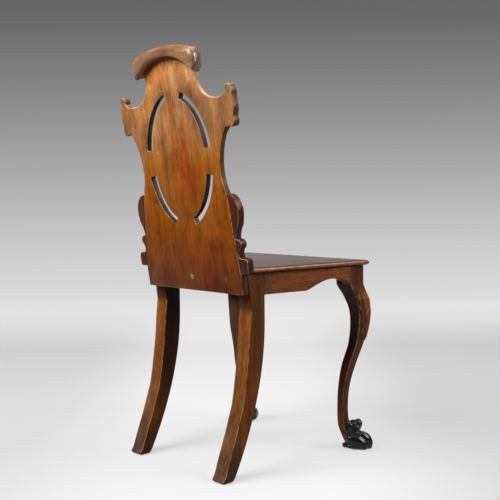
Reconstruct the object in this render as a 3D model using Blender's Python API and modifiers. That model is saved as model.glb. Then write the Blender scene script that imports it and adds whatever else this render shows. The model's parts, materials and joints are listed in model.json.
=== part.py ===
"""A carved oak hall chair, modelled piece by piece as a joiner would make it.

Metres, +Z up. The floor is z = 0, the origin lies under the middle of the chair,
and the sitter looks along -Y. A pierced board back leans on the rear legs, a thin
moulded seat board lies on four rails, and the front legs are cabriole legs on paws.
"""
from math import asin, copysign, cos, pi, radians, sin, sqrt, tan

import bmesh
import bpy
from mathutils import Matrix, Vector

# General clearances
gap = 0.0003
cut_overrun = 0.004

# Seat board
seat_height = 0.4466
seat_thickness = 0.013
seat_overhang = 0.011
seat_nose_drop = 0.0028
seat_nose_height = 0.0065
seat_undercut = 0.0095

# Rails and their joints
rail_depth = 0.0463
rail_thickness = 0.022
front_rail_setback = 0.001
bracket_rise = 0.0222
bracket_dip = 0.0179
side_cyma_start = 0.112
side_cyma_length = 0.077
front_bracket_length = 0.052
front_cyma_length = 0.062
tenon_thickness = 0.009
tenon_height = 0.026
tenon_length = 0.020

# A tapered brace glued under the rear rail, on the inner side of the right rear leg
brace_width = 0.0386
brace_drop = 0.197
brace_setback = 0.0054

# Front legs: the block under the seat, then the cabriole
front_half_width = 0.197
front_face_y = -0.2074
block_side = 0.0451
block_drop = 0.0423
knee_reach = 0.0213
leg_corner_cut = 0.0016

# Rear legs
rear_leg_outer = 0.163
rear_leg_width = 0.037
rear_leg_front_y = 0.0808
rear_leg_bend_drop = 0.052
rear_leg_kink_drop = 0.0341
rear_foot_front_y = 0.1740
rear_foot_back_y = 0.2034
rear_foot_round = 0.009

# The board back leans: its rear face meets the floor at back_floor_y
back_rake = radians(7.46)
back_floor_y = 0.0914
back_thickness = 0.017
back_bottom_drop = 0.0569
back_bottom_half = 0.161
back_flare_half = 0.1636
back_crown = 0.5095
crest_arch_radius = 0.1361
neck_half = 0.0868
valley_radius = 0.050
waist_half = 0.1325

# Glued-on lower scrolls
lower_scroll_bottom = 0.0467
lower_scroll_height = 0.166
lower_scroll_width = 0.0257
lower_joint_bottom_half = 0.160
lower_joint_lean = 0.016
lobe_ledge = 0.003

# Glued-on ears
ear_joint_half = 0.161
ear_bottom = 0.351
ear_height = 0.0855
ear_width = 0.0313
ear_joint_length = 0.0623

# The four slots follow two ovals about one centre
slot_centre_height = 0.2898
slot_outer_half_width = 0.1105
slot_outer_half_height = 0.1483
slot_inner_half_width = 0.0895
slot_inner_half_height = 0.1336
upper_slot_angles = (radians(14.6), radians(81.0))
lower_slot_angles = (radians(104.3), radians(162.0))

# Crest rail
crest_half_length = 0.112
crest_middle_height = 0.0228
crest_end_drop = 0.0138
crest_end_corner = 0.0146
crest_back_overhang = 0.022
crest_front_draw_in = 0.0146

# Knee carving
carving_relief = 0.0045
carving_top_drop = 0.008
carving_length = 0.141

# Paw feet
paw_length = 0.0697
paw_width = 0.053
paw_height = 0.071
paw_heel_reach = 0.0164

# Fixings
dowel_radius = 0.004
dowel_length = 0.034
dowel_spacing = 0.055
screw_shank_radius = 0.0022
screw_head_radius = 0.0042
screw_head_height = 0.0028
plug_radius = 0.0058
plug_length = 0.0045
back_screw_length = 0.028
back_screw_height = 0.0315
back_screw_spacing = 0.110
seat_screw_length = 0.032
corner_block_height = 0.026
corner_block_reach = 0.040
paw_dowel_radius = 0.003
paw_dowel_length = 0.020

# Places that follow from the sizes
rail_top = seat_height - seat_thickness - gap
rail_bottom = rail_top - rail_depth
block_foot = rail_top - block_drop
carving_top_height = block_foot - carving_top_drop
back_bottom_height = seat_height - back_bottom_drop
rear_leg_bend_height = rail_bottom - rear_leg_bend_drop
rear_leg_kink_height = back_bottom_height - rear_leg_kink_drop
back_lean = tan(back_rake)
block_back_y = front_face_y + block_side
block_inner_x = front_half_width - block_side
block_centre_x = front_half_width - block_side / 2
block_centre_y = front_face_y + block_side / 2
rear_leg_inner = rear_leg_outer - rear_leg_width
rail_splay = (front_half_width - rear_leg_outer) / (block_back_y - rear_leg_front_y)
arch_centre = back_crown - crest_arch_radius
lower_joint_top_half = lower_joint_bottom_half - lower_joint_lean


def back_front_y(height):
    """Y of the board back's front face at a height above the floor."""
    return back_floor_y + back_lean * height - back_thickness / cos(back_rake)


# The board's own frame: X across, Y up the slope from its foot, Z out of its front
back_foot = Vector((0, back_floor_y + back_lean * back_bottom_height, back_bottom_height))
back_frame = Matrix.Translation(back_foot) @ Matrix.Rotation(pi / 2 - back_rake, 4, 'X')

# The right side of the chair mirrors the left
sides = {"right": Matrix.Diagonal((-1, 1, 1, 1)), "left": Matrix.Identity(4)}

# Scene and collections
for old_object in list(bpy.data.objects):
    bpy.data.objects.remove(old_object, do_unlink=True)

parts = bpy.data.collections.new("hall_chair")
cutters = bpy.data.collections.new("cutters")
bpy.context.scene.collection.children.link(parts)
bpy.context.scene.collection.children.link(cutters)


def make_material(name, colour, roughness, metallic=0.0):
    """One Principled material."""
    material = bpy.data.materials.new(name)
    material.use_nodes = True
    shader = material.node_tree.nodes["Principled BSDF"]
    shader.inputs["Base Color"].default_value = (*colour, 1.0)
    shader.inputs["Roughness"].default_value = roughness
    shader.inputs["Metallic"].default_value = metallic
    material.diffuse_color = (*colour, 1.0)
    return material


oak_back = make_material("oak_back", (0.33, 0.15, 0.055), 0.38)
oak_carved = make_material("oak_carved", (0.27, 0.11, 0.045), 0.36)
oak_frame = make_material("oak_frame", (0.22, 0.09, 0.04), 0.38)
oak_legs = make_material("oak_legs", (0.26, 0.12, 0.045), 0.40)
oak_seat = make_material("oak_seat", (0.24, 0.11, 0.05), 0.30)
ebonised = make_material("ebonised", (0.02, 0.018, 0.018), 0.25)
raw_wood = make_material("raw_wood", (0.45, 0.30, 0.16), 0.75)
steel = make_material("steel", (0.35, 0.34, 0.33), 0.45, 1.0)


# Points along lines and curves
def arc(centre, radius, start, end, steps):
    """Points of a circular arc, angles in radians from +X."""
    turns = [start + (end - start) * i / steps for i in range(steps + 1)]
    return [(centre[0] + radius * cos(a), centre[1] + radius * sin(a)) for a in turns]


def bezier(p0, p1, p2, p3, steps):
    """Points of one cubic curve."""
    points = []
    for i in range(steps + 1):
        t = i / steps
        weights = ((1 - t) ** 3, 3 * t * (1 - t) ** 2, 3 * t * t * (1 - t), t ** 3)
        points.append(tuple(sum(w * p[k] for w, p in zip(weights, (p0, p1, p2, p3))) for k in range(2)))
    return points


def smooth_through(points, steps):
    """A smooth open line through the given points."""
    padded = [points[0]] + list(points) + [points[-1]]
    line = []
    for before, p, q, after in zip(padded, padded[1:], padded[2:], padded[3:]):
        for i in range(steps):
            t = i / steps
            weights = (-t + 2 * t * t - t ** 3, 2 - 5 * t * t + 3 * t ** 3,
                       t + 4 * t * t - 3 * t ** 3, t ** 3 - t * t)
            line.append(tuple(sum(w * c for w, c in zip(weights, values)) / 2
                              for values in zip(before, p, q, after)))
    line.append(tuple(points[-1]))
    return line


def scaled(origin, size, shares):
    """Points at shares of a width and a height from an origin."""
    return [(origin[0] + size[0] * a, origin[1] + size[1] * b) for a, b in shares]


def mirrored(points):
    """The same line on the other side, run backwards."""
    return [(-x, y) for x, y in reversed(points)]


# Meshes
def new_mesh(name, working):
    """Turn a bmesh into a mesh with its faces outwards."""
    bmesh.ops.recalc_face_normals(working, faces=working.faces)
    mesh = bpy.data.meshes.new(name)
    working.to_mesh(mesh)
    working.free()
    return mesh


def mesh_of(holder):
    """The evaluated mesh of a curve or a modified object, with loose seams welded."""
    bpy.context.view_layer.update()
    evaluated = holder.evaluated_get(bpy.context.evaluated_depsgraph_get())
    raw = bpy.data.meshes.new_from_object(evaluated)
    name = holder.name
    bpy.data.objects.remove(holder, do_unlink=True)
    working = bmesh.new()
    working.from_mesh(raw)
    bmesh.ops.remove_doubles(working, verts=working.verts, dist=gap / 30)
    return new_mesh(name, working)


def flat_solid(name, outlines, thickness, low=0.0):
    """A 2D outline with holes, filled on both sides and extruded from low to low + thickness."""
    curve = bpy.data.curves.new(name, 'CURVE')
    curve.dimensions = '2D'
    curve.fill_mode = 'BOTH'
    curve.extrude = thickness / 2
    for outline in outlines:
        spline = curve.splines.new('POLY')
        spline.points.add(len(outline) - 1)
        for point, place in zip(spline.points, outline):
            point.co = (place[0], place[1], 0.0, 1.0)
        spline.use_cyclic_u = True
    holder = bpy.data.objects.new(name, curve)
    cutters.objects.link(holder)
    mesh = mesh_of(holder)
    mesh.transform(Matrix.Translation((0, 0, low + thickness / 2)))
    return mesh


def box_mesh(name, low, high):
    """A closed box between two corners."""
    working = bmesh.new()
    bmesh.ops.create_cube(working, size=1.0)
    low, high = Vector(low), Vector(high)
    bmesh.ops.transform(working, verts=working.verts,
                        matrix=Matrix.Translation((low + high) / 2) @ Matrix.Diagonal((*(high - low), 1.0)))
    return new_mesh(name, working)


def rod_mesh(name, radius, length, sides_count):
    """A closed round rod along +Z from z = 0."""
    working = bmesh.new()
    bmesh.ops.create_cone(working, cap_ends=True, segments=sides_count, radius1=radius, radius2=radius,
                          depth=length)
    bmesh.ops.transform(working, verts=working.verts, matrix=Matrix.Translation((0, 0, length / 2)))
    return new_mesh(name, working)


def ball_mesh(name, radii, centre, turn):
    """An ellipsoid with the given half sizes, turned about its own upright axis."""
    working = bmesh.new()
    bmesh.ops.create_uvsphere(working, u_segments=20, v_segments=12, radius=1.0)
    matrix = Matrix.Translation(centre) @ Matrix.Rotation(turn, 4, 'Z') @ Matrix.Diagonal((*radii, 1.0))
    bmesh.ops.transform(working, verts=working.verts, matrix=matrix)
    return new_mesh(name, working)


def loft(name, rings):
    """A closed skin over rings of equal point counts, with both ends capped."""
    working = bmesh.new()
    rows = [[working.verts.new(point) for point in ring] for ring in rings]
    count = len(rings[0])
    for lower, upper in zip(rows, rows[1:]):
        for i in range(count):
            j = (i + 1) % count
            working.faces.new((lower[i], lower[j], upper[j], upper[i]))
    working.faces.new(rows[0])
    working.faces.new(rows[-1])
    return new_mesh(name, working)


def lathe(name, profile, steps):
    """A turned solid from (radius, height) points that run top to bottom, from axis to axis."""
    working = bmesh.new()
    points = [working.verts.new((radius, 0.0, height)) for radius, height in profile]
    for a, b in zip(points, points[1:]):
        working.edges.new((a, b))
    mesh = bpy.data.meshes.new(name + "_profile")
    working.to_mesh(mesh)
    working.free()
    holder = bpy.data.objects.new(name, mesh)
    cutters.objects.link(holder)
    turning = holder.modifiers.new("turning", 'SCREW')
    turning.steps = steps
    turning.render_steps = steps
    turning.use_merge_vertices = True
    turning.merge_threshold = gap / 30
    return mesh_of(holder)


def placed(mesh, matrix):
    """A moved copy of a mesh, its faces still outwards."""
    copy = mesh.copy()
    copy.transform(matrix)
    if matrix.determinant() < 0:
        copy.flip_normals()
    return copy


def add_piece(name, mesh, material, smooth_angle=None):
    """Put a mesh in the chair as one named piece, shaded smooth where it is round."""
    mesh.materials.clear()
    mesh.materials.append(material)
    if smooth_angle is not None:
        mesh.shade_smooth()
        mesh.set_sharp_from_angle(angle=smooth_angle)
    piece = bpy.data.objects.new(name, mesh)
    parts.objects.link(piece)
    return piece


def combine(piece, guide_mesh, operation):
    """Cut or join a piece with a hidden guide solid, both given in the chair's frame."""
    guide = bpy.data.objects.new(piece.name + "_guide", guide_mesh)
    guide.display_type = 'WIRE'
    guide.hide_render = True
    cutters.objects.link(guide)
    step = piece.modifiers.new(operation.lower(), 'BOOLEAN')
    step.operation = operation
    step.solver = 'EXACT'
    step.object = guide


def cut(piece, mesh):
    """Take a solid away from a piece."""
    combine(piece, mesh, 'DIFFERENCE')


def unite(piece, mesh):
    """Make a solid part of a piece."""
    combine(piece, mesh, 'UNION')


round_angle = radians(35)

# The board back
waist_low_share = 0.34
waist_lower_shares = (0.45, 0.50, 0.40)
waist_upper_shares = (0.50, 0.42, 0.20)


def waist_edge():
    """The board's edge from the lobe's ledge up to the foot of the ear's joint."""
    start = (lower_joint_top_half - lobe_ledge, lower_scroll_bottom + lower_scroll_height)
    end = (ear_joint_half, ear_bottom)
    low = (waist_half, start[1] + waist_low_share * (end[1] - start[1]))
    in_share, up_share, under_share = waist_lower_shares
    lower = bezier(start, (start[0] - in_share * (start[0] - low[0]), start[1] + up_share * (low[1] - start[1])),
                   (low[0], low[1] - under_share * (low[1] - start[1])), low, 5)
    over_share, out_share, end_share = waist_upper_shares
    upper = bezier(low, (low[0], low[1] + over_share * (end[1] - low[1])),
                   (end[0] - out_share * (end[0] - low[0]), end[1] - end_share * (end[1] - low[1])), end, 8)
    return lower + upper[1:]


def board_outline():
    """The outline of the main board, anticlockwise from the right of its foot."""
    scroll_top = lower_scroll_bottom + lower_scroll_height
    joint_top = ear_bottom + ear_joint_length
    right = [(back_bottom_half, 0.0), (back_flare_half, lower_scroll_bottom - gap),
             (lower_joint_bottom_half, lower_scroll_bottom - gap), (lower_joint_top_half, scroll_top)]
    right += waist_edge()
    right.append((ear_joint_half, joint_top))
    right += arc((neck_half + valley_radius, joint_top + valley_radius), valley_radius, -pi / 2, -pi, 10)
    half_swing = asin(neck_half / crest_arch_radius)
    top = arc((0, arch_centre), crest_arch_radius, pi / 2 - half_swing, pi / 2 + half_swing, 18)
    return right + top + mirrored(right)


def slot_outline(angles, side):
    """One slot: the band between the two ovals, angles from the top."""
    steps = 12
    turns = [angles[0] + (angles[1] - angles[0]) * i / steps for i in range(steps + 1)]
    outer = [(side * slot_outer_half_width * sin(a), slot_centre_height + slot_outer_half_height * cos(a))
             for a in turns]
    inner = [(side * slot_inner_half_width * sin(a), slot_centre_height + slot_inner_half_height * cos(a))
             for a in turns]
    return outer + inner[::-1]


slots = [slot_outline(angles, side) for angles in (upper_slot_angles, lower_slot_angles) for side in (1, -1)]
board = add_piece("back_panel", placed(flat_solid("back_panel", [board_outline()] + slots, back_thickness),
                                       back_frame), oak_back)

# Glued-on ears, in shares of the ear's width beyond its joint and of its height
ear_shares = ((0.34, 0.00), (0.44, 0.03), (0.55, -0.01), (0.74, 0.00), (0.87, 0.045), (0.93, 0.125),
              (0.88, 0.26), (0.99, 0.42), (0.95, 0.60), (0.93, 0.72), (0.95, 0.84), (0.83, 0.96),
              (0.62, 1.00), (0.42, 0.985), (0.30, 0.92), (0.32, 0.83), (0.16, 0.785))
ear_line = [(ear_joint_half + gap, ear_bottom)]
ear_line += scaled((ear_joint_half, ear_bottom), (ear_width, ear_height), ear_shares)
ear_line.append((ear_joint_half + gap, ear_bottom + ear_joint_length))
ear_mesh = placed(flat_solid("ear", [smooth_through(ear_line, 3)], back_thickness), back_frame)

# Glued-on lower scrolls: square scroll, ball and lobe, in shares of width and height
square_scroll_shares = ((0.92, 0.0), (0.97, 0.03), (1.0, 0.13), (0.95, 0.17), (0.78, 0.188), (0.30, 0.19),
                        (0.10, 0.205), (0.07, 0.26))
ball_centre_shares = ((0.04, 0.37),)
ball_radius_share = 0.41
ball_start = radians(-66)
ball_end = radians(100)
lobe_shares = ((-0.13, 0.444), (0.06, 0.545), (0.39, 0.638), (0.525, 0.796), (0.35, 0.893), (0.12, 0.948),
               (-0.16, 0.985), (-0.40, 1.0))
scroll_origin = (lower_joint_bottom_half, lower_scroll_bottom)
scroll_size = (lower_scroll_width, lower_scroll_height)
scroll_line = [(lower_joint_bottom_half + gap, lower_scroll_bottom)]
scroll_line += scaled(scroll_origin, scroll_size, square_scroll_shares)
scroll_line += arc(scaled(scroll_origin, scroll_size, ball_centre_shares)[0],
                   lower_scroll_width * ball_radius_share, ball_start, ball_end, 9)
scroll_line += smooth_through(scaled(scroll_origin, scroll_size, lobe_shares), 4)
scroll_line.append((lower_joint_top_half + gap, lower_scroll_bottom + lower_scroll_height))
scroll_mesh = placed(flat_solid("lower_scroll", [scroll_line], back_thickness), back_frame)

for side, flip in sides.items():
    add_piece("ear_" + side, placed(ear_mesh, flip), oak_carved)
    add_piece("lower_scroll_" + side, placed(scroll_mesh, flip), oak_carved)

# Crest rail: an arched roll that caps the board and overhangs it at the back. Its section in shares of
# its depth from behind and of its height from the underside, which stays flat where the board comes in
crest_section_shares = ((1.0, 0.0), (0.25, 0.0), (0.11, 0.05), (0.03, 0.20), (0.0, 0.46), (0.03, 0.72),
                        (0.13, 0.91), (0.30, 1.0), (0.60, 1.0), (0.82, 0.94), (0.95, 0.80), (1.0, 0.58))
crest_end_shares = (0.5, 0.15, 0.0)
crest_end_squeeze_share = 0.6
crest_end_lift_share = 0.45


def crest_ring(x, squeeze):
    """One section at x, squeezed about its middle where the crest's end is rounded."""
    under_half = crest_half_length - crest_end_corner
    top_radius = (under_half ** 2 + crest_end_drop ** 2) / (2 * crest_end_drop)
    top_centre = back_crown + crest_middle_height - top_radius
    past_neck = max(0.0, abs(x) - neck_half) / (crest_half_length - neck_half)
    ring = []
    for shares in crest_section_shares:
        depth_share, height_share = (0.5 + (share - 0.5) * squeeze for share in shares)
        place = x - copysign(crest_front_draw_in * past_neck * depth_share, x)
        low = arch_centre + sqrt((crest_arch_radius + gap) ** 2 - min(abs(place), under_half) ** 2)
        low += crest_end_lift_share * max(0.0, abs(place) - under_half)
        high = top_centre + sqrt(top_radius ** 2 - place ** 2)
        depth = depth_share * (back_thickness + crest_back_overhang) - crest_back_overhang
        ring.append((place, low + height_share * (high - low), depth))
    return ring


def crest_mesh():
    """The crest from end to end: even steps of angle over the board, then the rounded ends."""
    swing = asin(neck_half / crest_arch_radius)
    steps = 14
    rings = [crest_ring(crest_arch_radius * sin(swing * (2 * i / steps - 1)), 1.0) for i in range(steps + 1)]
    ends = [(crest_half_length - crest_end_corner, 1.0)]
    for share in crest_end_shares:
        squeeze = 1 - crest_end_squeeze_share * (1 - sqrt(1 - (1 - share) ** 2))
        ends.append((crest_half_length - share * crest_end_corner, squeeze))
    left = [crest_ring(x, squeeze) for x, squeeze in ends]
    right = [crest_ring(-x, squeeze) for x, squeeze in reversed(ends)]
    return placed(loft("crest_rail", right + rings + left), back_frame)


crest = add_piece("crest_rail", crest_mesh(), oak_carved, round_angle)

# Three dowels square to the arch, half in the board and half in the crest
dowel = rod_mesh("crest_dowel", dowel_radius, dowel_length, 12)
dowel_hole = rod_mesh("dowel_hole", dowel_radius + gap, dowel_length + 2 * gap, 12)
dowel_hole.transform(Matrix.Translation((0, 0, -gap)))
for label, x in (("right", -dowel_spacing), ("middle", 0.0), ("left", dowel_spacing)):
    site = (back_frame @ Matrix.Translation((0, arch_centre, back_thickness / 2))
            @ Matrix.Rotation(-asin(x / crest_arch_radius), 4, 'Z')
            @ Matrix.Translation((0, crest_arch_radius - dowel_length / 2, 0))
            @ Matrix.Rotation(-pi / 2, 4, 'X'))
    add_piece("crest_dowel_" + label, placed(dowel, site), raw_wood, round_angle)
    cut(board, placed(dowel_hole, site))
    cut(crest, placed(dowel_hole, site))


# Rear legs: sabre legs, flat against the board's front face above and swept back below
def upright(mesh, x_low):
    """Turn a flat solid drawn in (y, z) upright, with its thickness along X from x_low."""
    return placed(mesh, Matrix(((0, 0, 1, x_low), (1, 0, 0, 0), (0, 1, 0, 0), (0, 0, 0, 1))))


rear_front_shares = ((0.0, 0.60), (0.52, 0.25))
rear_back_shares = ((0.0, 1.0), (0.053, 0.90), (0.113, 0.737), (0.28, 0.478), (0.421, 0.366),
                    (0.591, 0.253), (0.772, 0.146), (0.93, 0.045))
rear_sole_shares = ((0.20, 0.60), (-0.02, 0.26), (-0.42, 0.06), (-0.95, 0.0))
rear_toe_share = 0.35


def rear_leg_outline():
    """Side view as (y, z), from the front of the sole up and down again behind."""
    front_sweep = rear_foot_front_y - rear_leg_front_y
    front_low, front_high = scaled((rear_leg_front_y, 0.0), (front_sweep, rear_leg_bend_height),
                                   rear_front_shares)[::-1]
    toe = rear_toe_share * rear_foot_round
    front = bezier((rear_foot_front_y, toe), front_low, front_high, (rear_leg_front_y, rear_leg_bend_height), 12)
    kink_y = back_front_y(rear_leg_kink_height) - gap
    back = scaled((kink_y, 0.0), (rear_foot_back_y - kink_y, rear_leg_kink_height), rear_back_shares)
    sole = scaled((rear_foot_back_y, 0.0), (rear_foot_round, rear_foot_round), rear_sole_shares)
    return front + [(rear_leg_front_y, rail_top), (back_front_y(rail_top) - gap, rail_top)] \
        + smooth_through(back, 3) + sole + [(rear_foot_front_y + toe, 0.0)]


rear_leg_mesh = upright(flat_solid("rear_leg", [rear_leg_outline()], rear_leg_width), rear_leg_inner)

# Front legs: square sections moved out along the block's diagonal, as shares of the height
# under the block, of the knee's reach and of the block's side
leg_section_shares = ((1.0, 0.0, 1.0), (0.972, 0.21, 0.976), (0.944, 0.47, 0.931), (0.895, 0.775, 0.843),
                      (0.854, 0.94, 0.765), (0.800, 1.0, 0.705), (0.726, 0.906, 0.643), (0.656, 0.69, 0.599),
                      (0.619, 0.516, 0.581), (0.517, -0.122, 0.554), (0.419, -0.563, 0.479),
                      (0.331, -0.775, 0.441), (0.249, -0.826, 0.430), (0.208, -0.808, 0.443),
                      (0.153, -0.728, 0.455), (0.118, -0.61, 0.421), (0.077, -0.40, 0.366),
                      (0.042, -0.19, 0.310))
leg_sections = [(block_foot * a, knee_reach * b, block_side * c) for a, b, c in leg_section_shares]


def square_ring(height, move, side, grow=0.0):
    """One section of the front leg, a square with its corners cut off."""
    centre_x = block_centre_x + move / sqrt(2)
    centre_y = block_centre_y - move / sqrt(2)
    half = side / 2 + grow
    inset = half - leg_corner_cut
    corners = ((half, -inset), (half, inset), (inset, half), (-inset, half), (-half, inset), (-half, -inset),
               (-inset, -half), (inset, -half))
    return [(centre_x + x, centre_y + y, height) for x, y in corners]


def front_leg_mesh(grow):
    """The left front leg, grown all round by a clearance when it cuts its neighbours."""
    rings = [square_ring(rail_top, 0.0, block_side, grow)]
    rings += [square_ring(height, move, side, grow) for height, move, side in smooth_through(leg_sections, 2)]
    if grow:
        height, move, side = leg_sections[-1]
        rings.append(square_ring(height - grow, move, side, grow))
    return loft("front_leg", rings)


# Knee leaf: raised on the leg's outer corner, shares of its length, of its relief and of the leg's side
leaf_shares = ((0.0, 0.30, 0.80), (0.17, 0.35, 0.80), (0.35, 0.70, 0.78), (0.62, 1.0, 0.72),
               (0.89, 0.80, 0.46), (1.0, 0.25, 0.16))


def leg_section_at(height):
    """Move and side of the front leg's section at a height."""
    for upper, lower in zip(leg_sections, leg_sections[1:]):
        if lower[0] <= height:
            t = (upper[0] - height) / (upper[0] - lower[0])
            return tuple(a + (b - a) * t for a, b in zip(upper[1:], lower[1:]))
    return leg_sections[-1][1:]


def knee_leaf_mesh():
    """The leaf as a band over the knee's outer corner."""
    rings = []
    for down_share, relief_share, side_share in leaf_shares:
        height = carving_top_height - carving_length * down_share
        move, side = leg_section_at(height)
        leaf_side = side * side_share
        out = (side - leaf_side) / 2 + carving_relief * relief_share
        rings.append(square_ring(height, move + out * sqrt(2), leaf_side))
    return loft("knee_leaf", rings)


leg_mesh = front_leg_mesh(0.0)
leg_socket = front_leg_mesh(gap)
knee_leaf = knee_leaf_mesh()


# Rails with tenons; the side rails run out with the seat, their shoulders stay square to the chair
cyma_shares = ((0.0, 0.0), (0.13, 0.0), (0.58, 1.0), (1.0, 1.0))


def cyma_edge(start, length):
    """A double curve that climbs along length: it sets off sharply and flattens out."""
    return bezier(*scaled((start, 0.0), (length, bracket_rise), cyma_shares), 8)


bracket_shares = ((0.0, 0.0), (0.5, 0.05), (0.8, 0.45), (1.0, 1.0))


def bracket_edge(start, length):
    """The lower edge of a rail as it comes down to the knee."""
    corners = scaled((start, bracket_rise), (length, -bracket_dip), bracket_shares)
    return bezier(*corners, 6)[1:]


def side_rail_outline():
    """Side view in (y, z), from the rear leg towards the front."""
    start_y = rear_leg_front_y - gap
    run = start_y - (block_back_y + gap)
    climbed = side_cyma_start + side_cyma_length
    line = [(0.0, 0.0)] + cyma_edge(side_cyma_start, side_cyma_length)
    line += bracket_edge(climbed, run - climbed)
    lower = [(start_y - along, rail_bottom + up) for along, up in line]
    return lower + [(start_y - run, rail_top), (start_y, rail_top)]


def splayed(mesh):
    """Lean a side rail or its tenons outwards towards the front."""
    shear = Matrix.Identity(4)
    shear[0][1] = rail_splay
    shear[0][3] = -rail_splay * rear_leg_front_y
    return placed(mesh, shear)


tenon_middle = (rail_top + rail_bottom + bracket_dip / 3) / 2
tenon_low = tenon_middle - tenon_height / 2
tenon_high = tenon_middle + tenon_height / 2
side_tenon_x = rear_leg_outer - rail_thickness / 2
front_rail_y = front_face_y + front_rail_setback
front_tenon_y = front_rail_y + rail_thickness / 2
rear_rail_y = back_front_y(rail_bottom) - gap
rear_tenon_y = rear_rail_y - rail_thickness / 2
front_tenon_end = block_inner_x + tenon_length
rear_tenon_end = rear_leg_inner + tenon_length


def side_tenons(grow):
    """The tenons at both ends of a side rail, as one bar through it."""
    half = tenon_thickness / 2 + grow
    low = (side_tenon_x - half, block_back_y - tenon_length - grow, tenon_low - grow)
    high = (side_tenon_x + half, rear_leg_front_y + tenon_length + grow, tenon_high + grow)
    return splayed(box_mesh("side_tenons", low, high))


def cross_tenons(y, half_length, grow):
    """The tenons of a front or rear rail, as one bar through it."""
    half = tenon_thickness / 2 + grow
    return box_mesh("cross_tenons", (-half_length - grow, y - half, tenon_low - grow),
                    (half_length + grow, y + half, tenon_high + grow))


side_rail = splayed(upright(flat_solid("side_rail", [side_rail_outline()], rail_thickness),
                            rear_leg_outer - rail_thickness))

for side, flip in sides.items():
    rail = add_piece("side_rail_" + side, placed(side_rail, flip), oak_frame)
    unite(rail, placed(side_tenons(0.0), flip))
    side_mortises = placed(side_tenons(gap), flip)
    front_leg = add_piece("front_leg_" + side, placed(leg_mesh, flip), oak_legs, round_angle)
    unite(front_leg, placed(knee_leaf, flip))
    cut(front_leg, side_mortises)
    cut(front_leg, cross_tenons(front_tenon_y, front_tenon_end, gap))
    rear_leg = add_piece("rear_leg_" + side, placed(rear_leg_mesh, flip), oak_legs, round_angle)
    cut(rear_leg, side_mortises)
    cut(rear_leg, cross_tenons(rear_tenon_y, rear_tenon_end, gap))


def front_rail_outline():
    """Front view in (x, z): the lower edge climbs from the middle and comes down to each knee."""
    half = block_inner_x - gap
    start = half - front_bracket_length - front_cyma_length
    line = cyma_edge(start, front_cyma_length)
    line += bracket_edge(half - front_bracket_length, front_bracket_length)
    right = [(along, rail_bottom + up) for along, up in line] + [(half, rail_top)]
    return right + mirrored(right)


front_rail_site = Matrix.Translation((0, front_rail_y + rail_thickness, 0)) @ Matrix.Rotation(pi / 2, 4, 'X')
front_rail = add_piece("front_rail", placed(flat_solid("front_rail", [front_rail_outline()], rail_thickness),
                                            front_rail_site), oak_frame)
unite(front_rail, cross_tenons(front_tenon_y, front_tenon_end, 0.0))

# The rear rail's back face leans with the board
rear_half = rear_leg_inner - gap
rear_front_face_y = rear_rail_y - rail_thickness
rear_section = [(rear_front_face_y, rail_bottom), (back_front_y(rail_bottom) - gap, rail_bottom),
                (back_front_y(rail_top) - gap, rail_top), (rear_front_face_y, rail_top)]
rear_rail = add_piece("rear_rail", upright(flat_solid("rear_rail", [rear_section], 2 * rear_half), -rear_half),
                      oak_frame)
unite(rear_rail, cross_tenons(rear_tenon_y, rear_tenon_end, 0.0))

# The brace stands on the right only: shares of its width inwards and of its drop under the rail
brace_shares = ((0.0, 0.0), (1.0, 0.0), (0.97, 0.08), (0.85, 0.34), (0.70, 0.47), (0.56, 0.60), (0.47, 0.73),
                (0.25, 0.90), (0.0, 1.0))
brace_line = scaled((-rear_leg_inner + gap, rail_bottom - gap), (brace_width, -brace_drop), brace_shares)
brace_site = Matrix.Translation((0, rear_rail_y - brace_setback, 0)) @ Matrix.Rotation(pi / 2, 4, 'X')
add_piece("rear_brace", placed(flat_solid("rear_brace", [brace_line], rail_thickness - brace_setback),
                               brace_site), oak_frame)

# Seat board: a thin top with a thumbnail edge on its front and sides
seat_top_round_shares = (0.35, 0.45)
seat_corner_share = 0.5
seat_bottom = seat_height - seat_thickness
seat_splay = (front_half_width - rear_leg_outer) / (rear_leg_front_y - front_face_y + seat_overhang)


def seat_ring(height, overhang):
    """The seat's outline at one height, for one overhang beyond the frame."""
    back_y = back_front_y(height) - gap
    front_y = front_face_y - overhang
    corner = seat_corner_share * seat_overhang
    side_at_back = rear_leg_outer + seat_splay * (rear_leg_front_y - back_y) + overhang
    side_at_front = front_half_width + overhang
    right = [(side_at_back, back_y), (side_at_front, front_y + corner), (side_at_front - corner, front_y)]
    return [(x, y, height) for x, y in right + mirrored(right)]


nose_top = seat_height - seat_nose_drop
drop_share, out_share = seat_top_round_shares
seat_rings = [seat_ring(seat_bottom, seat_overhang - seat_undercut),
              seat_ring(nose_top - seat_nose_height, seat_overhang),
              seat_ring(nose_top, seat_overhang),
              seat_ring(seat_height - drop_share * seat_nose_drop, out_share * seat_overhang),
              seat_ring(seat_height, 0.0)]
seat = add_piece("seat_board", loft("seat_board", seat_rings), oak_seat)


def screw_mesh(length):
    """A flat-headed wood screw along +Z, its head's face at z = 0."""
    tip_shares = ((0.35, 2.0), (1.0, 5.0))
    profile = [(0.0, length)]
    profile += [(a * screw_shank_radius, length - b * screw_shank_radius) for a, b in tip_shares]
    profile += [(screw_shank_radius, screw_head_height), (screw_head_radius, screw_head_height / 4),
                (screw_head_radius, 0.0), (0.0, 0.0)]
    return lathe("screw", profile, 12)


# Corner blocks glued inside the frame, each with one screw up into the seat
def side_inner_x(y):
    """Inner face of the side rail at y."""
    return rear_leg_outer - rail_thickness + rail_splay * (y - rear_leg_front_y)


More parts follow.
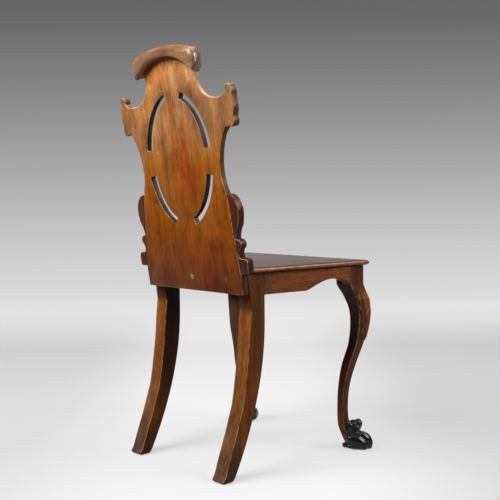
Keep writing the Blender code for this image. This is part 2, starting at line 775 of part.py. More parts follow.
def corner_block_plan(rail_y, leg_x, leg_y, toward):
    """Plan of a corner block that wraps the inner corner of a leg, seen from above."""
    far_y = leg_y + toward * corner_block_reach
    return [(leg_x - corner_block_reach, rail_y), (leg_x, rail_y), (leg_x, leg_y),
            (side_inner_x(leg_y) - gap, leg_y), (side_inner_x(far_y) - gap, far_y)]


corner_plans = {
    "front": corner_block_plan(front_rail_y + rail_thickness + gap, block_inner_x - gap, block_back_y + gap, 1),
    "rear": corner_block_plan(rear_front_face_y - gap, rear_leg_inner - gap, rear_leg_front_y - gap, -1),
}
corner_block_low = rail_top - corner_block_height
seat_screw = screw_mesh(seat_screw_length)
seat_screw_hole = rod_mesh("seat_screw_hole", screw_shank_radius + gap, seat_screw_length + 2 * gap, 12)
seat_screw_sink = rod_mesh("seat_screw_sink", screw_head_radius + gap, screw_head_height + cut_overrun, 12)
for label, plan in corner_plans.items():
    corner_mesh = flat_solid("corner_block", [plan], corner_block_height, corner_block_low)
    first, _, inner, _, last = plan
    site = Matrix.Translation(((first[0] + inner[0] + last[0]) / 3, (first[1] + inner[1] + last[1]) / 3,
                               corner_block_low + gap))
    sink_site = site @ Matrix.Translation((0, 0, -cut_overrun))
    hole_site = site @ Matrix.Translation((0, 0, -gap))
    for side, flip in sides.items():
        block = add_piece("corner_block_%s_%s" % (label, side), placed(corner_mesh, flip), raw_wood)
        cut(block, placed(seat_screw_hole, flip @ hole_site))
        cut(block, placed(seat_screw_sink, flip @ sink_site))
        cut(seat, placed(seat_screw_hole, flip @ hole_site))
        add_piece("seat_screw_%s_%s" % (label, side), placed(seat_screw, flip @ site), steel, round_angle)

# Screws through the board back into the rear rail, under wooden plugs
back_screw = screw_mesh(back_screw_length)
back_plug = rod_mesh("back_plug", plug_radius, plug_length, 16)
plug_hole = rod_mesh("plug_hole", plug_radius + gap, plug_length + screw_head_height + cut_overrun, 16)
plug_hole.transform(Matrix.Translation((0, 0, -cut_overrun)))
back_screw_hole = rod_mesh("back_screw_hole", screw_shank_radius + gap, back_screw_length + 2 * gap, 12)
for label, x in (("right", -back_screw_spacing), ("middle", 0.0), ("left", back_screw_spacing)):
    plug_site = back_frame @ Matrix.Translation((x, back_screw_height, 0))
    screw_site = plug_site @ Matrix.Translation((0, 0, plug_length + gap))
    add_piece("back_plug_" + label, placed(back_plug, plug_site), raw_wood, round_angle)
    add_piece("back_screw_" + label, placed(back_screw, screw_site), steel, round_angle)
    cut(board, placed(plug_hole, plug_site))
    cut(board, placed(back_screw_hole, screw_site))
    cut(rear_rail, placed(back_screw_hole, screw_site))

# Paw feet: swellings in shares of the paw's length, width and height
sole_shares = ((0.485, 0.45, 0.13), (0.48, 0.0, 0.07))
foot_shares = ((0.44, 0.46, 0.36), (0.51, 0.0, 0.28))
instep_shares = ((0.24, 0.32, 0.50), (0.36, 0.0, 0.50))
knuckle_shares = ((0.175, 0.32, 0.22), (0.50, 0.0, 0.78))
toe_size_shares = (0.28, 0.14, 0.30)
toe_place_shares = ((0.63, -0.35, 0.22), (0.72, -0.125, 0.25), (0.72, 0.125, 0.25), (0.63, 0.35, 0.22))
toe_splay = radians(8)
out_turn = -pi / 4


def paw_ball(size_shares, place_shares, turn=0.0):
    """One swelling of the left paw; places run from the heel, out along the diagonal."""
    along = paw_length * place_shares[0] - paw_heel_reach
    across = paw_width * place_shares[1]
    place = (block_centre_x + (along + across) / sqrt(2), block_centre_y - (along - across) / sqrt(2),
             paw_height * place_shares[2])
    radii = (paw_length * size_shares[0], paw_width * size_shares[1], paw_height * size_shares[2])
    return ball_mesh("paw_ball", radii, place, out_turn + turn)


below_floor = box_mesh("below_floor", (-front_half_width - paw_length, front_face_y - paw_length, -paw_height),
                       (front_half_width + paw_length, 0.0, 0.0))
height, move, _ = leg_sections[-1]
paw_dowel_site = Matrix.Translation((block_centre_x + move / sqrt(2), block_centre_y - move / sqrt(2),
                                     height - paw_dowel_length / 2))
paw_dowel = rod_mesh("paw_dowel", paw_dowel_radius, paw_dowel_length, 12)
paw_dowel_hole = rod_mesh("paw_dowel_hole", paw_dowel_radius + gap, paw_dowel_length + 2 * gap, 12)
paw_dowel_hole.transform(Matrix.Translation((0, 0, -gap)))
for side, flip in sides.items():
    paw = add_piece("front_paw_" + side, placed(paw_ball(*sole_shares), flip), ebonised, round_angle)
    for swelling_shares in (foot_shares, instep_shares, knuckle_shares):
        unite(paw, placed(paw_ball(*swelling_shares), flip))
    for i, place_shares in enumerate(toe_place_shares):
        toe = paw_ball(toe_size_shares, place_shares, toe_splay * (2 * i / 3 - 1))
        unite(paw, placed(toe, flip))
    cut(paw, placed(leg_socket, flip))
    cut(paw, placed(paw_dowel_hole, flip @ paw_dowel_site))
    cut(paw, below_floor)
    cut(bpy.data.objects["front_leg_" + side], placed(paw_dowel_hole, flip @ paw_dowel_site))
    add_piece("paw_dowel_" + side, placed(paw_dowel, flip @ paw_dowel_site), raw_wood, round_angle)
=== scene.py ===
# %% [markdown]
# A hall chair in old polished oak: a pierced board back with an arched crest, a thin moulded
# seat, two carved cabriole legs on black paws in front and two sabre legs behind.
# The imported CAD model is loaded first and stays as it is. Every carved or rounded piece is
# then built finer in the same frame, in metres, with +Z up and the sitter looking along -Y.

# %% Load the frame
import json
from math import asin, copysign, cos, exp, pi, radians, sin, sqrt, tan

import bmesh
import bpy
from mathutils import Matrix, Vector

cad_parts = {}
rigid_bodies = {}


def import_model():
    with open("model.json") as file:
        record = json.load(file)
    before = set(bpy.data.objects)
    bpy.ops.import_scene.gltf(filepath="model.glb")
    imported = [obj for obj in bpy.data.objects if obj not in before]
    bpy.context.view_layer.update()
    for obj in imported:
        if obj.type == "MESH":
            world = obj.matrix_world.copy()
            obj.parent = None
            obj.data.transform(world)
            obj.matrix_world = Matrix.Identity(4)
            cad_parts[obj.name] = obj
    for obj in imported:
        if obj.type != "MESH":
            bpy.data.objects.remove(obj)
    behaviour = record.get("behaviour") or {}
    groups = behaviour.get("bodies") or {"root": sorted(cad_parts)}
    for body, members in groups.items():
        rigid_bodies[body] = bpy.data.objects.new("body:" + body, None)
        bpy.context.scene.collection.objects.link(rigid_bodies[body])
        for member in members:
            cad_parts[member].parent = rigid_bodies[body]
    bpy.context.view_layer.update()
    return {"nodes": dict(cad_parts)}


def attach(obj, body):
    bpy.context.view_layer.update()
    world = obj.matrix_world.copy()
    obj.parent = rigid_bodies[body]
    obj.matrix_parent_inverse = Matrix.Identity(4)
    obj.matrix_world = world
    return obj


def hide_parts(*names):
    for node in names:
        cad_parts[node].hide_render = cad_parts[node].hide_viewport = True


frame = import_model()
nodes = frame["nodes"]
shown_objects = bpy.context.scene.collection.objects

# %% [markdown]
# The photograph was taken from behind the chair's right side, a little above the seat, with
# a lens that is long enough to keep the legs nearly parallel. A camera could be aimed with a
# Track To constraint. Here its axes are written out from yaw, pitch and roll, so that the
# small roll of the photograph is kept too.

# %% Camera
yaw, pitch, roll = radians(46.77), radians(3.73), radians(0.54)
camera_spot, focal_length, sensor_width = (-1.475, 1.3565, 0.602), 62.11, 36.0
ahead = Vector((sin(yaw) * cos(pitch), -cos(yaw) * cos(pitch), -sin(pitch)))
level_right = Vector((-cos(yaw), -sin(yaw), 0))
down = ahead.cross(level_right)
right = level_right * cos(roll) + down * sin(roll)
up = level_right * sin(roll) - down * cos(roll)
camera = bpy.data.objects.new("camera", bpy.data.cameras.new("camera"))
camera.data.lens, camera.data.sensor_width = focal_length, sensor_width
camera.matrix_world = Matrix.Translation(camera_spot) @ Matrix((right, up, -ahead)).transposed().to_4x4()
shown_objects.link(camera)
bpy.context.scene.camera = camera
print("camera at", tuple(round(c, 3) for c in camera.location))

# %% [markdown]
# Every look in this scene is a small node tree. These few functions make a node, feed its
# inputs and mix two colours, so that paper, wood and metal can be written down briefly.

# %% Node helpers
def feed(tree, node, **inputs):
    """Set or link a node's inputs by name, or by number as i0, i1 and so on."""
    for key, value in inputs.items():
        by_number = key[0] == "i" and key[1:].isdigit()
        socket = node.inputs[int(key[1:]) if by_number else key.replace("_", " ")]
        if isinstance(value, bpy.types.NodeSocket):
            tree.links.new(value, socket)
        else:
            socket.default_value = value


def add_node(tree, kind, settings=None, **inputs):
    """Make a node, set its options and feed its inputs."""
    node = tree.nodes.new(kind)
    for key, value in (settings or {}).items():
        setattr(node, key, value)
    feed(tree, node, **inputs)
    return node


def math_node(tree, operation, first, second=0.0, clamp=False):
    """One math step."""
    settings = {"operation": operation, "use_clamp": clamp}
    return add_node(tree, "ShaderNodeMath", settings, i0=first, i1=second).outputs[0]


def times(tree, first, second):
    """Two values multiplied."""
    return math_node(tree, 'MULTIPLY', first, second)


def span(tree, value, low, high, first=0.0, last=1.0, kind='LINEAR'):
    """A value between low and high, carried over to the range from first to last."""
    return add_node(tree, "ShaderNodeMapRange", {"interpolation_type": kind}, Value=value, From_Min=low,
                    From_Max=high, To_Min=first, To_Max=last).outputs[0]


def window(tree, value, low, high):
    """0 below low, 1 above high, smooth between."""
    return span(tree, value, low, high, kind='SMOOTHSTEP')


def mix_colours(tree, factor, first, second, blend='MIX'):
    """Two colours mixed by a factor."""
    first, second = ((*c, 1.0) if isinstance(c, tuple) else c for c in (first, second))
    settings = {"data_type": 'RGBA', "blend_type": blend}
    return add_node(tree, "ShaderNodeMix", settings, i0=factor, i6=first, i7=second).outputs[2]


def ramp_node(tree, value, stops, blend='EASE'):
    """A colour ramp fed by a value. Stops are (place, colour)."""
    ramp = add_node(tree, "ShaderNodeValToRGB", None, i0=value)
    ramp.color_ramp.interpolation = blend
    elements = ramp.color_ramp.elements
    while len(elements) < len(stops):
        elements.new(0.5)
    for element, (place, colour) in zip(elements, stops):
        element.position, element.color = place, (*colour, 1.0)
    return ramp.outputs[0]


def grey(level):
    """A neutral colour."""
    return (level, level, level)


print("node helpers ready")

# %% [markdown]
# The chair stands on seamless paper that runs up behind it. One swept sheet does both floor
# and backdrop: flat under the chair, then a wide curve, then upright. Its tone follows the
# height and falls off a little to both sides of the floor. The floor is partly lit by the
# lamps, so that it takes pale shadows, and the rest keeps its tone whatever the lamps do. The
# chair itself sees only a dark paper in its diffuse light, which keeps its shaded sides deep.

# %% Floor and backdrop
floor_reach, sweep_radius, wall_height, set_half_width = 1.35, 0.55, 3.2, 9.0
paper_tones = [(0.0, grey(0.93)), (0.10, grey(0.72)), (0.42, grey(0.42)), (0.80, grey(0.127))]
tones_end, floor_band, lit_band = 1.6, 0.12, 0.10
side_start, side_end, side_tone = 0.15, 0.62, 0.80
own_tone_on_floor, bounced_tone = 0.64, grey(0.05)
toward_wall = Vector((ahead.x, ahead.y, 0)).normalized()

sweep = [(-set_half_width, 0.0), (floor_reach, 0.0)]
sweep += [(floor_reach + sweep_radius * sin(a), sweep_radius * (1 - cos(a)))
          for a in [radians(5 * i) for i in range(1, 18)]]
sweep += [(floor_reach + sweep_radius, sweep_radius), (floor_reach + sweep_radius, wall_height)]
paper_mesh = bpy.data.meshes.new("paper")
side_step = level_right * set_half_width
paper_points = []
for away, height in sweep:
    middle = toward_wall * away + Vector((0, 0, height))
    paper_points += [middle - side_step, middle + side_step]
paper_faces = [(2 * i, 2 * i + 1, 2 * i + 3, 2 * i + 2) for i in range(len(sweep) - 1)]
paper_mesh.from_pydata(paper_points, [], paper_faces)
paper_mesh.shade_smooth()
paper = bpy.data.objects.new("paper", paper_mesh)
shown_objects.link(paper)

paper_material = bpy.data.materials.new("paper")
paper_material.use_nodes = True
tree = paper_material.node_tree
tree.nodes.clear()
place = add_node(tree, "ShaderNodeNewGeometry").outputs["Position"]
height = add_node(tree, "ShaderNodeSeparateXYZ", None, Vector=place).outputs["Z"]
tint = ramp_node(tree, span(tree, height, 0.0, tones_end), paper_tones, 'B_SPLINE')
# painted shade: the floor darkens towards both sides, as if the lamps' light fell off there
beside = add_node(tree, "ShaderNodeVectorMath", {"operation": 'DOT_PRODUCT'}, i0=place, i1=level_right)
far_out = math_node(tree, 'ABSOLUTE', beside.outputs["Value"])
painted_side_shade = span(tree, far_out, side_start, side_end, 1.0, side_tone, 'SMOOTHSTEP')
floor_tint = mix_colours(tree, 1.0, tint, painted_side_shade, 'MULTIPLY')
tint = mix_colours(tree, span(tree, height, 0.0, floor_band), floor_tint, tint)
rays = add_node(tree, "ShaderNodeLightPath").outputs
direct = rays["Is Camera Ray"]
for kind in ("Is Glossy Ray", "Is Transmission Ray"):
    direct = math_node(tree, 'MAXIMUM', direct, rays[kind])
lit = add_node(tree, "ShaderNodeBsdfDiffuse", None, Color=mix_colours(tree, direct, bounced_tone, tint))
even = add_node(tree, "ShaderNodeEmission", None, Color=tint)
own_share = times(tree, span(tree, height, 0.0, lit_band, own_tone_on_floor), direct)
both = add_node(tree, "ShaderNodeMixShader", None, i0=own_share, i1=lit.outputs[0], i2=even.outputs[0])
add_node(tree, "ShaderNodeOutputMaterial", None, Surface=both.outputs[0])
paper_mesh.materials.append(paper_material)
print("paper", len(paper_faces), "strips")

# %% [markdown]
# A studio lights such a piece with a big soft box high on the left, which throws the pale
# shadows to the right, and with weaker ones overhead and on the right. Two more at the right
# are kept out of the diffuse light, so they only show as highlights on polished edges and on
# the crest. Area lamps give all five. The world adds an even grey fill.

# %% Lights
chair_middle = Vector((0, 0, 0.42))
fill_tone, fill_strength = grey(0.60), 0.08
bpy.context.scene.view_settings.view_transform = 'Standard'
world = bpy.data.worlds.new("studio")
world.use_nodes = True
feed(world.node_tree, world.node_tree.nodes["Background"], Color=(*fill_tone, 1.0), Strength=fill_strength)
bpy.context.scene.world = world

# each lamp: across and away as the camera sees the chair, height, width and height of its face, power
soft_boxes = {"key_box": (-1.6, -1.0, 2.1, 1.5, 1.5, 68), "top_box": (0.2, 0.1, 2.6, 1.6, 1.6, 25),
              "right_box": (1.6, -0.6, 2.0, 0.9, 0.9, 17), "glint_box": (1.5, -0.95, 1.4, 0.9, 1.2, 45),
              "edge_box": (1.5, 0.1, 1.6, 0.35, 0.9, 9)}
for name, (across, away, height, wide, tall, power) in soft_boxes.items():
    lamp = bpy.data.lights.new(name, 'AREA')
    lamp.shape, lamp.size, lamp.size_y, lamp.energy = 'RECTANGLE', wide, tall, power
    holder = bpy.data.objects.new(name, lamp)
    holder.location = level_right * across + toward_wall * away + Vector((0, 0, height))
    holder.rotation_mode = 'QUATERNION'
    holder.rotation_quaternion = (chair_middle - holder.location).to_track_quat('-Z', 'Y')
    holder.visible_diffuse = name not in ("glint_box", "edge_box")
    shown_objects.link(holder)
print("lamps", list(soft_boxes))

# %% [markdown]
# Old oak shows several things at once: long streaks of colour along the grain, short dark
# pores, pale flecks where the board was quartered, and a slow drift in tone from light and
# handling. Each comes from noise stretched along the grain. They are wanted on every oak
# piece with other values, so they are one node group that puts out masks and a height.

# %% Oak grain group
def noise_node(tree, vector, scale, detail=3.0, roughness=0.5):
    """Fractal noise on coordinates."""
    return add_node(tree, "ShaderNodeTexNoise", None, Vector=vector, Scale=scale, Detail=detail,
                    Roughness=roughness).outputs[0]


def stretched(tree, vector, shares):
    """Coordinates multiplied axis by axis."""
    return add_node(tree, "ShaderNodeVectorMath", {"operation": 'MULTIPLY'}, i0=vector, i1=shares).outputs[0]


def new_group(name, inputs, outputs):
    """An empty node group with the named sockets."""
    group = bpy.data.node_groups.new(name, "ShaderNodeTree")
    for label, kind, value in inputs:
        socket = group.interface.new_socket(label, in_out='INPUT', socket_type=kind)
        if value is not None:
            socket.default_value = value
    for label in outputs:
        group.interface.new_socket(label, in_out='OUTPUT', socket_type=number)
    return group, group.nodes.new("NodeGroupInput").outputs, group.nodes.new("NodeGroupOutput").inputs


def use_group(tree, group, **inputs):
    """Place a group in a material."""
    return add_node(tree, "ShaderNodeGroup", {"node_tree": group}, **inputs).outputs


number, vector_kind = "NodeSocketFloat", "NodeSocketVector"
oak_grain, given, put = new_group(
    "oak_grain", [("Vector", vector_kind, None), ("Streak", number, 70.0), ("Pore", number, 900.0)],
    ["Streaks", "Fine", "Pores", "Flecks", "Drift", "Height"])
wavy = noise_node(oak_grain, stretched(oak_grain, given["Vector"], (6, 6, 2)), 1.0, 2.0)
bent = add_node(oak_grain, "ShaderNodeVectorMath", {"operation": 'MULTIPLY_ADD'}, i0=wavy, i1=(0.012, 0.012, 0.0),
                i2=given["Vector"]).outputs[0]
along = stretched(oak_grain, bent, (1.0, 1.0, 0.06))
streaks = noise_node(oak_grain, along, given["Streak"], 4.0, 0.6)
fine = noise_node(oak_grain, stretched(oak_grain, bent, (1.0, 1.0, 0.035)), 420.0, 3.0, 0.6)
pore_noise = noise_node(oak_grain, stretched(oak_grain, bent, (1.0, 1.0, 0.07)), given["Pore"], 2.0, 0.5)
pores = window(oak_grain, pore_noise, 0.60, 0.72)
fleck_noise = noise_node(oak_grain, stretched(oak_grain, bent, (1.0, 1.0, 0.32)), 210.0, 1.0, 0.4)
flecks = window(oak_grain, fleck_noise, 0.60, 0.70)
drift = noise_node(oak_grain, stretched(oak_grain, given["Vector"], (1.0, 1.0, 0.6)), 9.0, 3.0, 0.55)
relief = math_node(oak_grain, 'SUBTRACT', times(oak_grain, fine, 0.35), pores)
for socket, value in zip(put, (streaks, fine, pores, flecks, drift, relief)):
    oak_grain.links.new(value, socket)
print("oak grain group with", len(oak_grain.nodes), "nodes")

# %% [markdown]
# Hands and dusters polish the arrises until the bare wood shines through, and wax darkens in
# the hollows. The meshes carry two numbers at every point, arris and hollow, that say how
# sharply the surface turns outwards or inwards. On the pierced board the hollow number is
# painted shade on the sawn walls. There, and along one corner of each front leg, the arris
# number is raised so that the pale worn line is partly a painted highlight. This group breaks
# the arris number up with noise, so that the wear comes and goes along an edge, and passes the
# hollow number on as it is.

# %% Wear group
wear_and_light_group, given, put = new_group(
    "worn_edges_and_painted_light", [("Vector", vector_kind, None), ("Amount", number, 1.0)], ["Worn", "Waxed_and_shaded"])
arris, hollow = (add_node(wear_and_light_group, "ShaderNodeAttribute", {"attribute_name": label}).outputs["Fac"]
                 for label in ("arris", "hollow"))
patchy = window(wear_and_light_group, noise_node(wear_and_light_group, given["Vector"], 38.0, 3.0, 0.6), 0.30, 0.62)
worn = math_node(wear_and_light_group, 'MULTIPLY', times(wear_and_light_group, arris, patchy), given["Amount"], True)
wear_and_light_group.links.new(worn, put["Worn"])
wear_and_light_group.links.new(hollow, put["Waxed_and_shaded"])
print("worn edges group with", len(wear_and_light_group.nodes), "nodes")

# %% [markdown]
# One recipe then serves all the oak: a dark and a light tone mixed by the streaks, pores and
# wax on top, which on the board's sawn walls is painted shade, bare wood on the worn arrises,
# and a thin polish as a coat. Tints that change with the height, or with the side that a face
# is turned to, are painted light and shade: bands by height on the back, faces of the legs and
# ears darkened where they are shaded, and the seat's sides lightened where they are lit. The
# grain runs along the texture's Z, so each material turns the coordinates to suit its piece:
# upright for the back and legs, across for the crest, front rail and seat, front to back for
# the side rails.

# %% Oak recipe
grain_turns = {"Z": (0, 0, 0), "X": (0, pi / 2, 0), "Y": (pi / 2, 0, 0)}


def new_finish(name):
    """A new material: itself, its tree, its shader and its texture coordinates."""
    material = bpy.data.materials.new(name)
    material.use_nodes = True
    tree = material.node_tree
    return material, tree, tree.nodes["Principled BSDF"], add_node(tree, "ShaderNodeTexCoord").outputs


def bump_node(tree, height, strength, distance):
    """A shading normal from a height."""
    return add_node(tree, "ShaderNodeBump", None, Strength=strength, Distance=distance, Height=height).outputs[0]


def climbing_tint(tree, height, stops):
    """A colour that changes with height. Stops are (height, colour)."""
    low, high = stops[0][0], stops[-1][0]
    shares = [((place - low) / (high - low), shade) for place, shade in stops]
    return ramp_node(tree, span(tree, height, low, high), shares, 'LINEAR')


def all_over(tint):
    """The same tint at every height."""
    return [(0.0, tint), (1.0, tint)]


def oak(name, dark, light, grain="Z", offset=(0, 0, 0), polish=0.35, roughness=0.42, worn=1.0, painted_light_fade=None,
        painted_side_light=None, painted_rear_light=None, painted_inner_light=None, marks=(), patches=(), raised=None,
        bare=(0.62, 0.40, 0.24), gloss=0.22):
    """An oak finish. The tints by height for all faces, and for those turned to a side, to the
    rear and to the chair's middle, list (height, tint) and paint light and shade. marks lists
    (axis, low, high, tint) for bands across a piece, such as dark joints and painted shade,
    patches lists (offset, scale, tint) for broad stains, and raised is the tone of carving that
    stands proud."""
    material, tree, shader, coordinates = new_finish(name)
    place = coordinates["Object"]
    turned = add_node(tree, "ShaderNodeMapping", None, Vector=place, Location=offset, Rotation=grain_turns[grain])
    figure = use_group(tree, oak_grain, Vector=turned.outputs[0])
    wear = use_group(tree, wear_and_light_group, Vector=place, Amount=worn)
    axes = add_node(tree, "ShaderNodeSeparateXYZ", None, Vector=place).outputs
    facing = add_node(tree, "ShaderNodeSeparateXYZ", None, Vector=coordinates["Normal"]).outputs

    tone = math_node(tree, 'ADD', times(tree, figure["Streaks"], 0.62), times(tree, figure["Fine"], 0.38))
    colour = mix_colours(tree, window(tree, tone, 0.32, 0.68), dark, light)
    drifting = times(tree, window(tree, figure["Drift"], 0.45, 0.75), 0.55)
    colour = mix_colours(tree, drifting, colour, tuple(c * 0.62 for c in dark))
    colour = mix_colours(tree, times(tree, figure["Flecks"], 0.22), colour, tuple(min(1.0, c * 1.45) for c in light))
    for shift, scale, tint in patches:
        shifted = add_node(tree, "ShaderNodeVectorMath", {"operation": 'ADD'}, i0=place, i1=shift).outputs[0]
        stain = window(tree, noise_node(tree, stretched(tree, shifted, (1.0, 1.0, 0.5)), scale, 3.0, 0.6), 0.50, 0.66)
        colour = mix_colours(tree, stain, colour, tint, 'MULTIPLY')
    if raised:
        proud = add_node(tree, "ShaderNodeAttribute", {"attribute_name": "raised"}).outputs["Fac"]
        colour = mix_colours(tree, times(tree, proud, 0.55), colour, raised)
    # painted light and shade by height over all faces
    if painted_light_fade:
        wander = math_node(tree, 'SUBTRACT', times(tree, figure["Drift"], 0.10), 0.05)
        height = math_node(tree, 'ADD', axes["Z"], wander)
        colour = mix_colours(tree, 1.0, colour, climbing_tint(tree, height, painted_light_fade), 'MULTIPLY')
    # painted light and shade on faces turned to a side, to the rear and to the chair's middle
    sideways = math_node(tree, 'ABSOLUTE', facing["X"])
    inwards = times(tree, facing["X"], times(tree, axes["X"], -7.0))
    for turned_to, stops in ((sideways, painted_side_light), (facing["Y"], painted_rear_light), (inwards, painted_inner_light)):
        if stops:
            colour = mix_colours(tree, window(tree, turned_to, 0.45, 0.85), colour,
                                 climbing_tint(tree, axes["Z"], stops), 'MULTIPLY')
    # bands across a piece: dark joints and soles, and painted shade at the crest's end
    for axis, low, high, tint in marks:
        near = times(tree, window(tree, axes[axis], low - 0.003, low + 0.002),
                     window(tree, axes[axis], high + 0.003, high - 0.002))
        broken = times(tree, window(tree, figure["Streaks"], 0.3, 0.6), 0.6)
        colour = mix_colours(tree, times(tree, near, broken), colour, tint)
    colour = mix_colours(tree, times(tree, figure["Pores"], 0.55), colour, tuple(c * 0.25 for c in dark))
    # wax in the hollows, and painted shade on the board's sawn walls
    colour = mix_colours(tree, times(tree, wear["Waxed_and_shaded"], 0.96), colour, (0.010, 0.004, 0.002))
    # bare wood on worn arrises, and a painted highlight where an edge line was set pale
    colour = mix_colours(tree, times(tree, wear["Worn"], 0.75), colour, bare)

    rough = math_node(tree, 'ADD', times(tree, figure["Drift"], 0.22), roughness - 0.11)
    rough = math_node(tree, 'SUBTRACT', rough, times(tree, wear["Worn"], 0.10))
    rough = math_node(tree, 'ADD', rough, times(tree, wear["Waxed_and_shaded"], 0.15))
    feed(tree, shader, Base_Color=colour, Roughness=rough, Specular_IOR_Level=0.15,
         Specular_Tint=(1.0, 0.62, 0.34, 1.0), Coat_Weight=polish, Coat_Roughness=gloss,
         Normal=bump_node(tree, figure["Height"], 0.35, 0.0006))
    return material


# %% Oak finishes
# painted light and shade on the back by height: darker and redder towards its foot, paler and greyer towards the top
# as a painted sheen
back_painted_light = [(0.40, (0.29, 0.140, 0.02)), (0.48, (0.37, 0.175, 0.0)), (0.66, (0.72, 0.45, 0.05)),
             (0.76, (0.82, 0.79, 0.84)), (0.82, (0.80, 0.76, 0.84)), (0.86, (1.34, 1.50, 1.60))]
back_patches = [((0.0, 0.0, 0.0), 9.0, (0.88, 0.60, 0.42)), ((3.1, 0.4, 1.7), 7.0, (1.25, 1.22, 0.9)),
                ((1.3, 2.2, 0.6), 18.0, (0.70, 0.60, 0.58))]
joint_marks = [("Y", 0.062, 0.0795, (0.15, 0.10, 0.085)), ("Y", -0.163, -0.157, (0.14, 0.10, 0.09))]
sole_marks = [("Z", -0.01, 0.004, (0.02, 0.015, 0.012))]
# painted light and shade on the rear legs by height: faces turned to the rear darken just under the board, as painted
# shadow, and grow greyer towards the floor; faces turned to a side are darker under the seat, as painted shade,
# lighter a little above the foot and darker at the foot; faces turned to the chair's middle darken under the seat, as
# painted shadow
leg_rear_shade = [(0.0, (0.40, 0.62, 1.9)), (0.05, (0.55, 0.80, 2.3)), (0.12, (0.72, 0.86, 1.6)),
                 (0.19, (0.92, 0.95, 1.1)), (0.30, (1.10, 1.08, 1.0)), (0.345, (1.05, 1.0, 0.9)),
                 (0.362, (0.35, 0.32, 0.45))]
leg_side_shade = [(0.0, (0.32, 0.40, 0.9)), (0.045, (0.50, 0.55, 0.9)), (0.09, (1.25, 1.10, 1.0)),
                 (0.17, (1.20, 1.05, 0.9)), (0.24, (0.80, 0.72, 0.7)), (0.30, (0.74, 0.66, 0.64))]
leg_inner_shadow = [(0.10, (1.0, 1.0, 1.0)), (0.20, (0.55, 0.50, 0.55)), (0.31, (0.22, 0.20, 0.30)),
                  (0.36, (0.15, 0.14, 0.2))]
# painted shadow of the seat on the front legs' rear faces: darker higher up
knee_rear_shadow = [(0.06, (1.0, 1.0, 1.0)), (0.17, (0.55, 0.50, 0.5)), (0.26, (0.12, 0.08, 0.08))]
# the back's worn arrises are paler than bare oak, partly a painted highlight
oak_back = oak("oak_back", (0.38, 0.155, 0.045), (0.80, 0.385, 0.145), painted_light_fade=back_painted_light, polish=0.10,
               bare=(0.80, 0.55, 0.40), patches=back_patches)
# painted shade: the ears' faces turned to a side are darkened
oak_ears = oak("oak_ears", (0.27, 0.105, 0.028), (0.54, 0.235, 0.08), offset=(0.3, 0.1, 0.2), polish=0.12,
               worn=1.2, painted_side_light=all_over((0.46, 0.35, 0.32)))
oak_scrolls = oak("oak_scrolls", (0.05, 0.011, 0.002), (0.12, 0.026, 0.005), offset=(0.1, 0.6, 0.4),
                  polish=0.15, worn=1.2)
# painted shade: the band darkens the crest's left end, which lies in shade
oak_crest = oak("oak_crest", (0.25, 0.115, 0.048), (0.54, 0.295, 0.145), grain="X", polish=0.8, roughness=0.44,
                worn=0.5, gloss=0.17, patches=[((0.5, 0.2, 0.4), 14.0, (0.72, 0.60, 0.50))],
                marks=[("X", 0.03, 0.13, (0.30, 0.16, 0.08))])
# painted light: the seat's faces turned to either side are about four times lighter than its top
oak_seat = oak("oak_seat", (0.09, 0.040, 0.022), (0.18, 0.080, 0.042), grain="X", offset=(0.2, 0.2, 0.7),
               polish=0.5, roughness=0.36, painted_side_light=all_over((4.4, 3.9, 3.4)), bare=(0.60, 0.33, 0.18))
oak_side_rails = oak("oak_side_rails", (0.30, 0.082, 0.025), (0.76, 0.235, 0.072), grain="Y", polish=0.02,
                     roughness=0.6, worn=0.7, marks=joint_marks)
oak_cross_rails = oak("oak_cross_rails", (0.13, 0.048, 0.018), (0.25, 0.10, 0.038), grain="X",
                      offset=(0, 0.4, 0.1), polish=0.1)
oak_brace = oak("oak_brace", (0.065, 0.024, 0.010), (0.12, 0.046, 0.019), offset=(0.5, 0.1, 0.3), polish=0.1,
                worn=0.5)
oak_rear_legs = oak("oak_rear_legs", (0.16, 0.044, 0.006), (0.40, 0.135, 0.026), offset=(0.7, 0.3, 0.1),
                    polish=0.05, roughness=0.48, painted_side_light=leg_side_shade, painted_rear_light=leg_rear_shade,
                    painted_inner_light=leg_inner_shadow, marks=sole_marks)
oak_front_legs = oak("oak_front_legs", (0.11, 0.024, 0.005), (0.26, 0.066, 0.012), offset=(0.2, 0.8, 0.5),
                     polish=0.06, worn=1.1, raised=(0.56, 0.165, 0.028), painted_rear_light=knee_rear_shadow)
plug_oak = oak("plug_oak", (0.10, 0.035, 0.010), (0.18, 0.065, 0.018), offset=(0.6, 0.6, 0.1), worn=0.3)
raw_wood = oak("raw_wood", (0.30, 0.18, 0.085), (0.50, 0.33, 0.18), offset=(0.4, 0.9, 0.2), polish=0.0,
               roughness=0.75, worn=0.0)
print("oak finishes", sum(m.name.startswith("oak") for m in bpy.data.materials))

# %% [markdown]
# The paws were stained black and polished. They take the oak's masks, so brown shows through
# where they are rubbed and the polish is duller where wax lies. The steel screws have gone
# dull too, with spots of rust.

# %% Ebonised wood and steel
ebonised, tree, shader, coordinates = new_finish("ebonised")
figure = use_group(tree, oak_grain, Vector=coordinates["Object"])
wear = use_group(tree, wear_and_light_group, Vector=coordinates["Object"], Amount=0.8)
colour = mix_colours(tree, window(tree, figure["Streaks"], 0.35, 0.70), (0.006, 0.0055, 0.006), (0.020, 0.018, 0.017))
colour = mix_colours(tree, times(tree, wear["Worn"], 0.20), colour, (0.10, 0.07, 0.05))
rough = math_node(tree, 'ADD', times(tree, figure["Drift"], 0.20), 0.12)
rough = math_node(tree, 'ADD', rough, times(tree, wear["Waxed_and_shaded"], 0.1))
feed(tree, shader, Base_Color=colour, Roughness=rough, Specular_IOR_Level=0.15, Coat_Weight=0.30,
     Coat_Roughness=0.07, Normal=bump_node(tree, figure["Height"], 0.04, 0.0005))

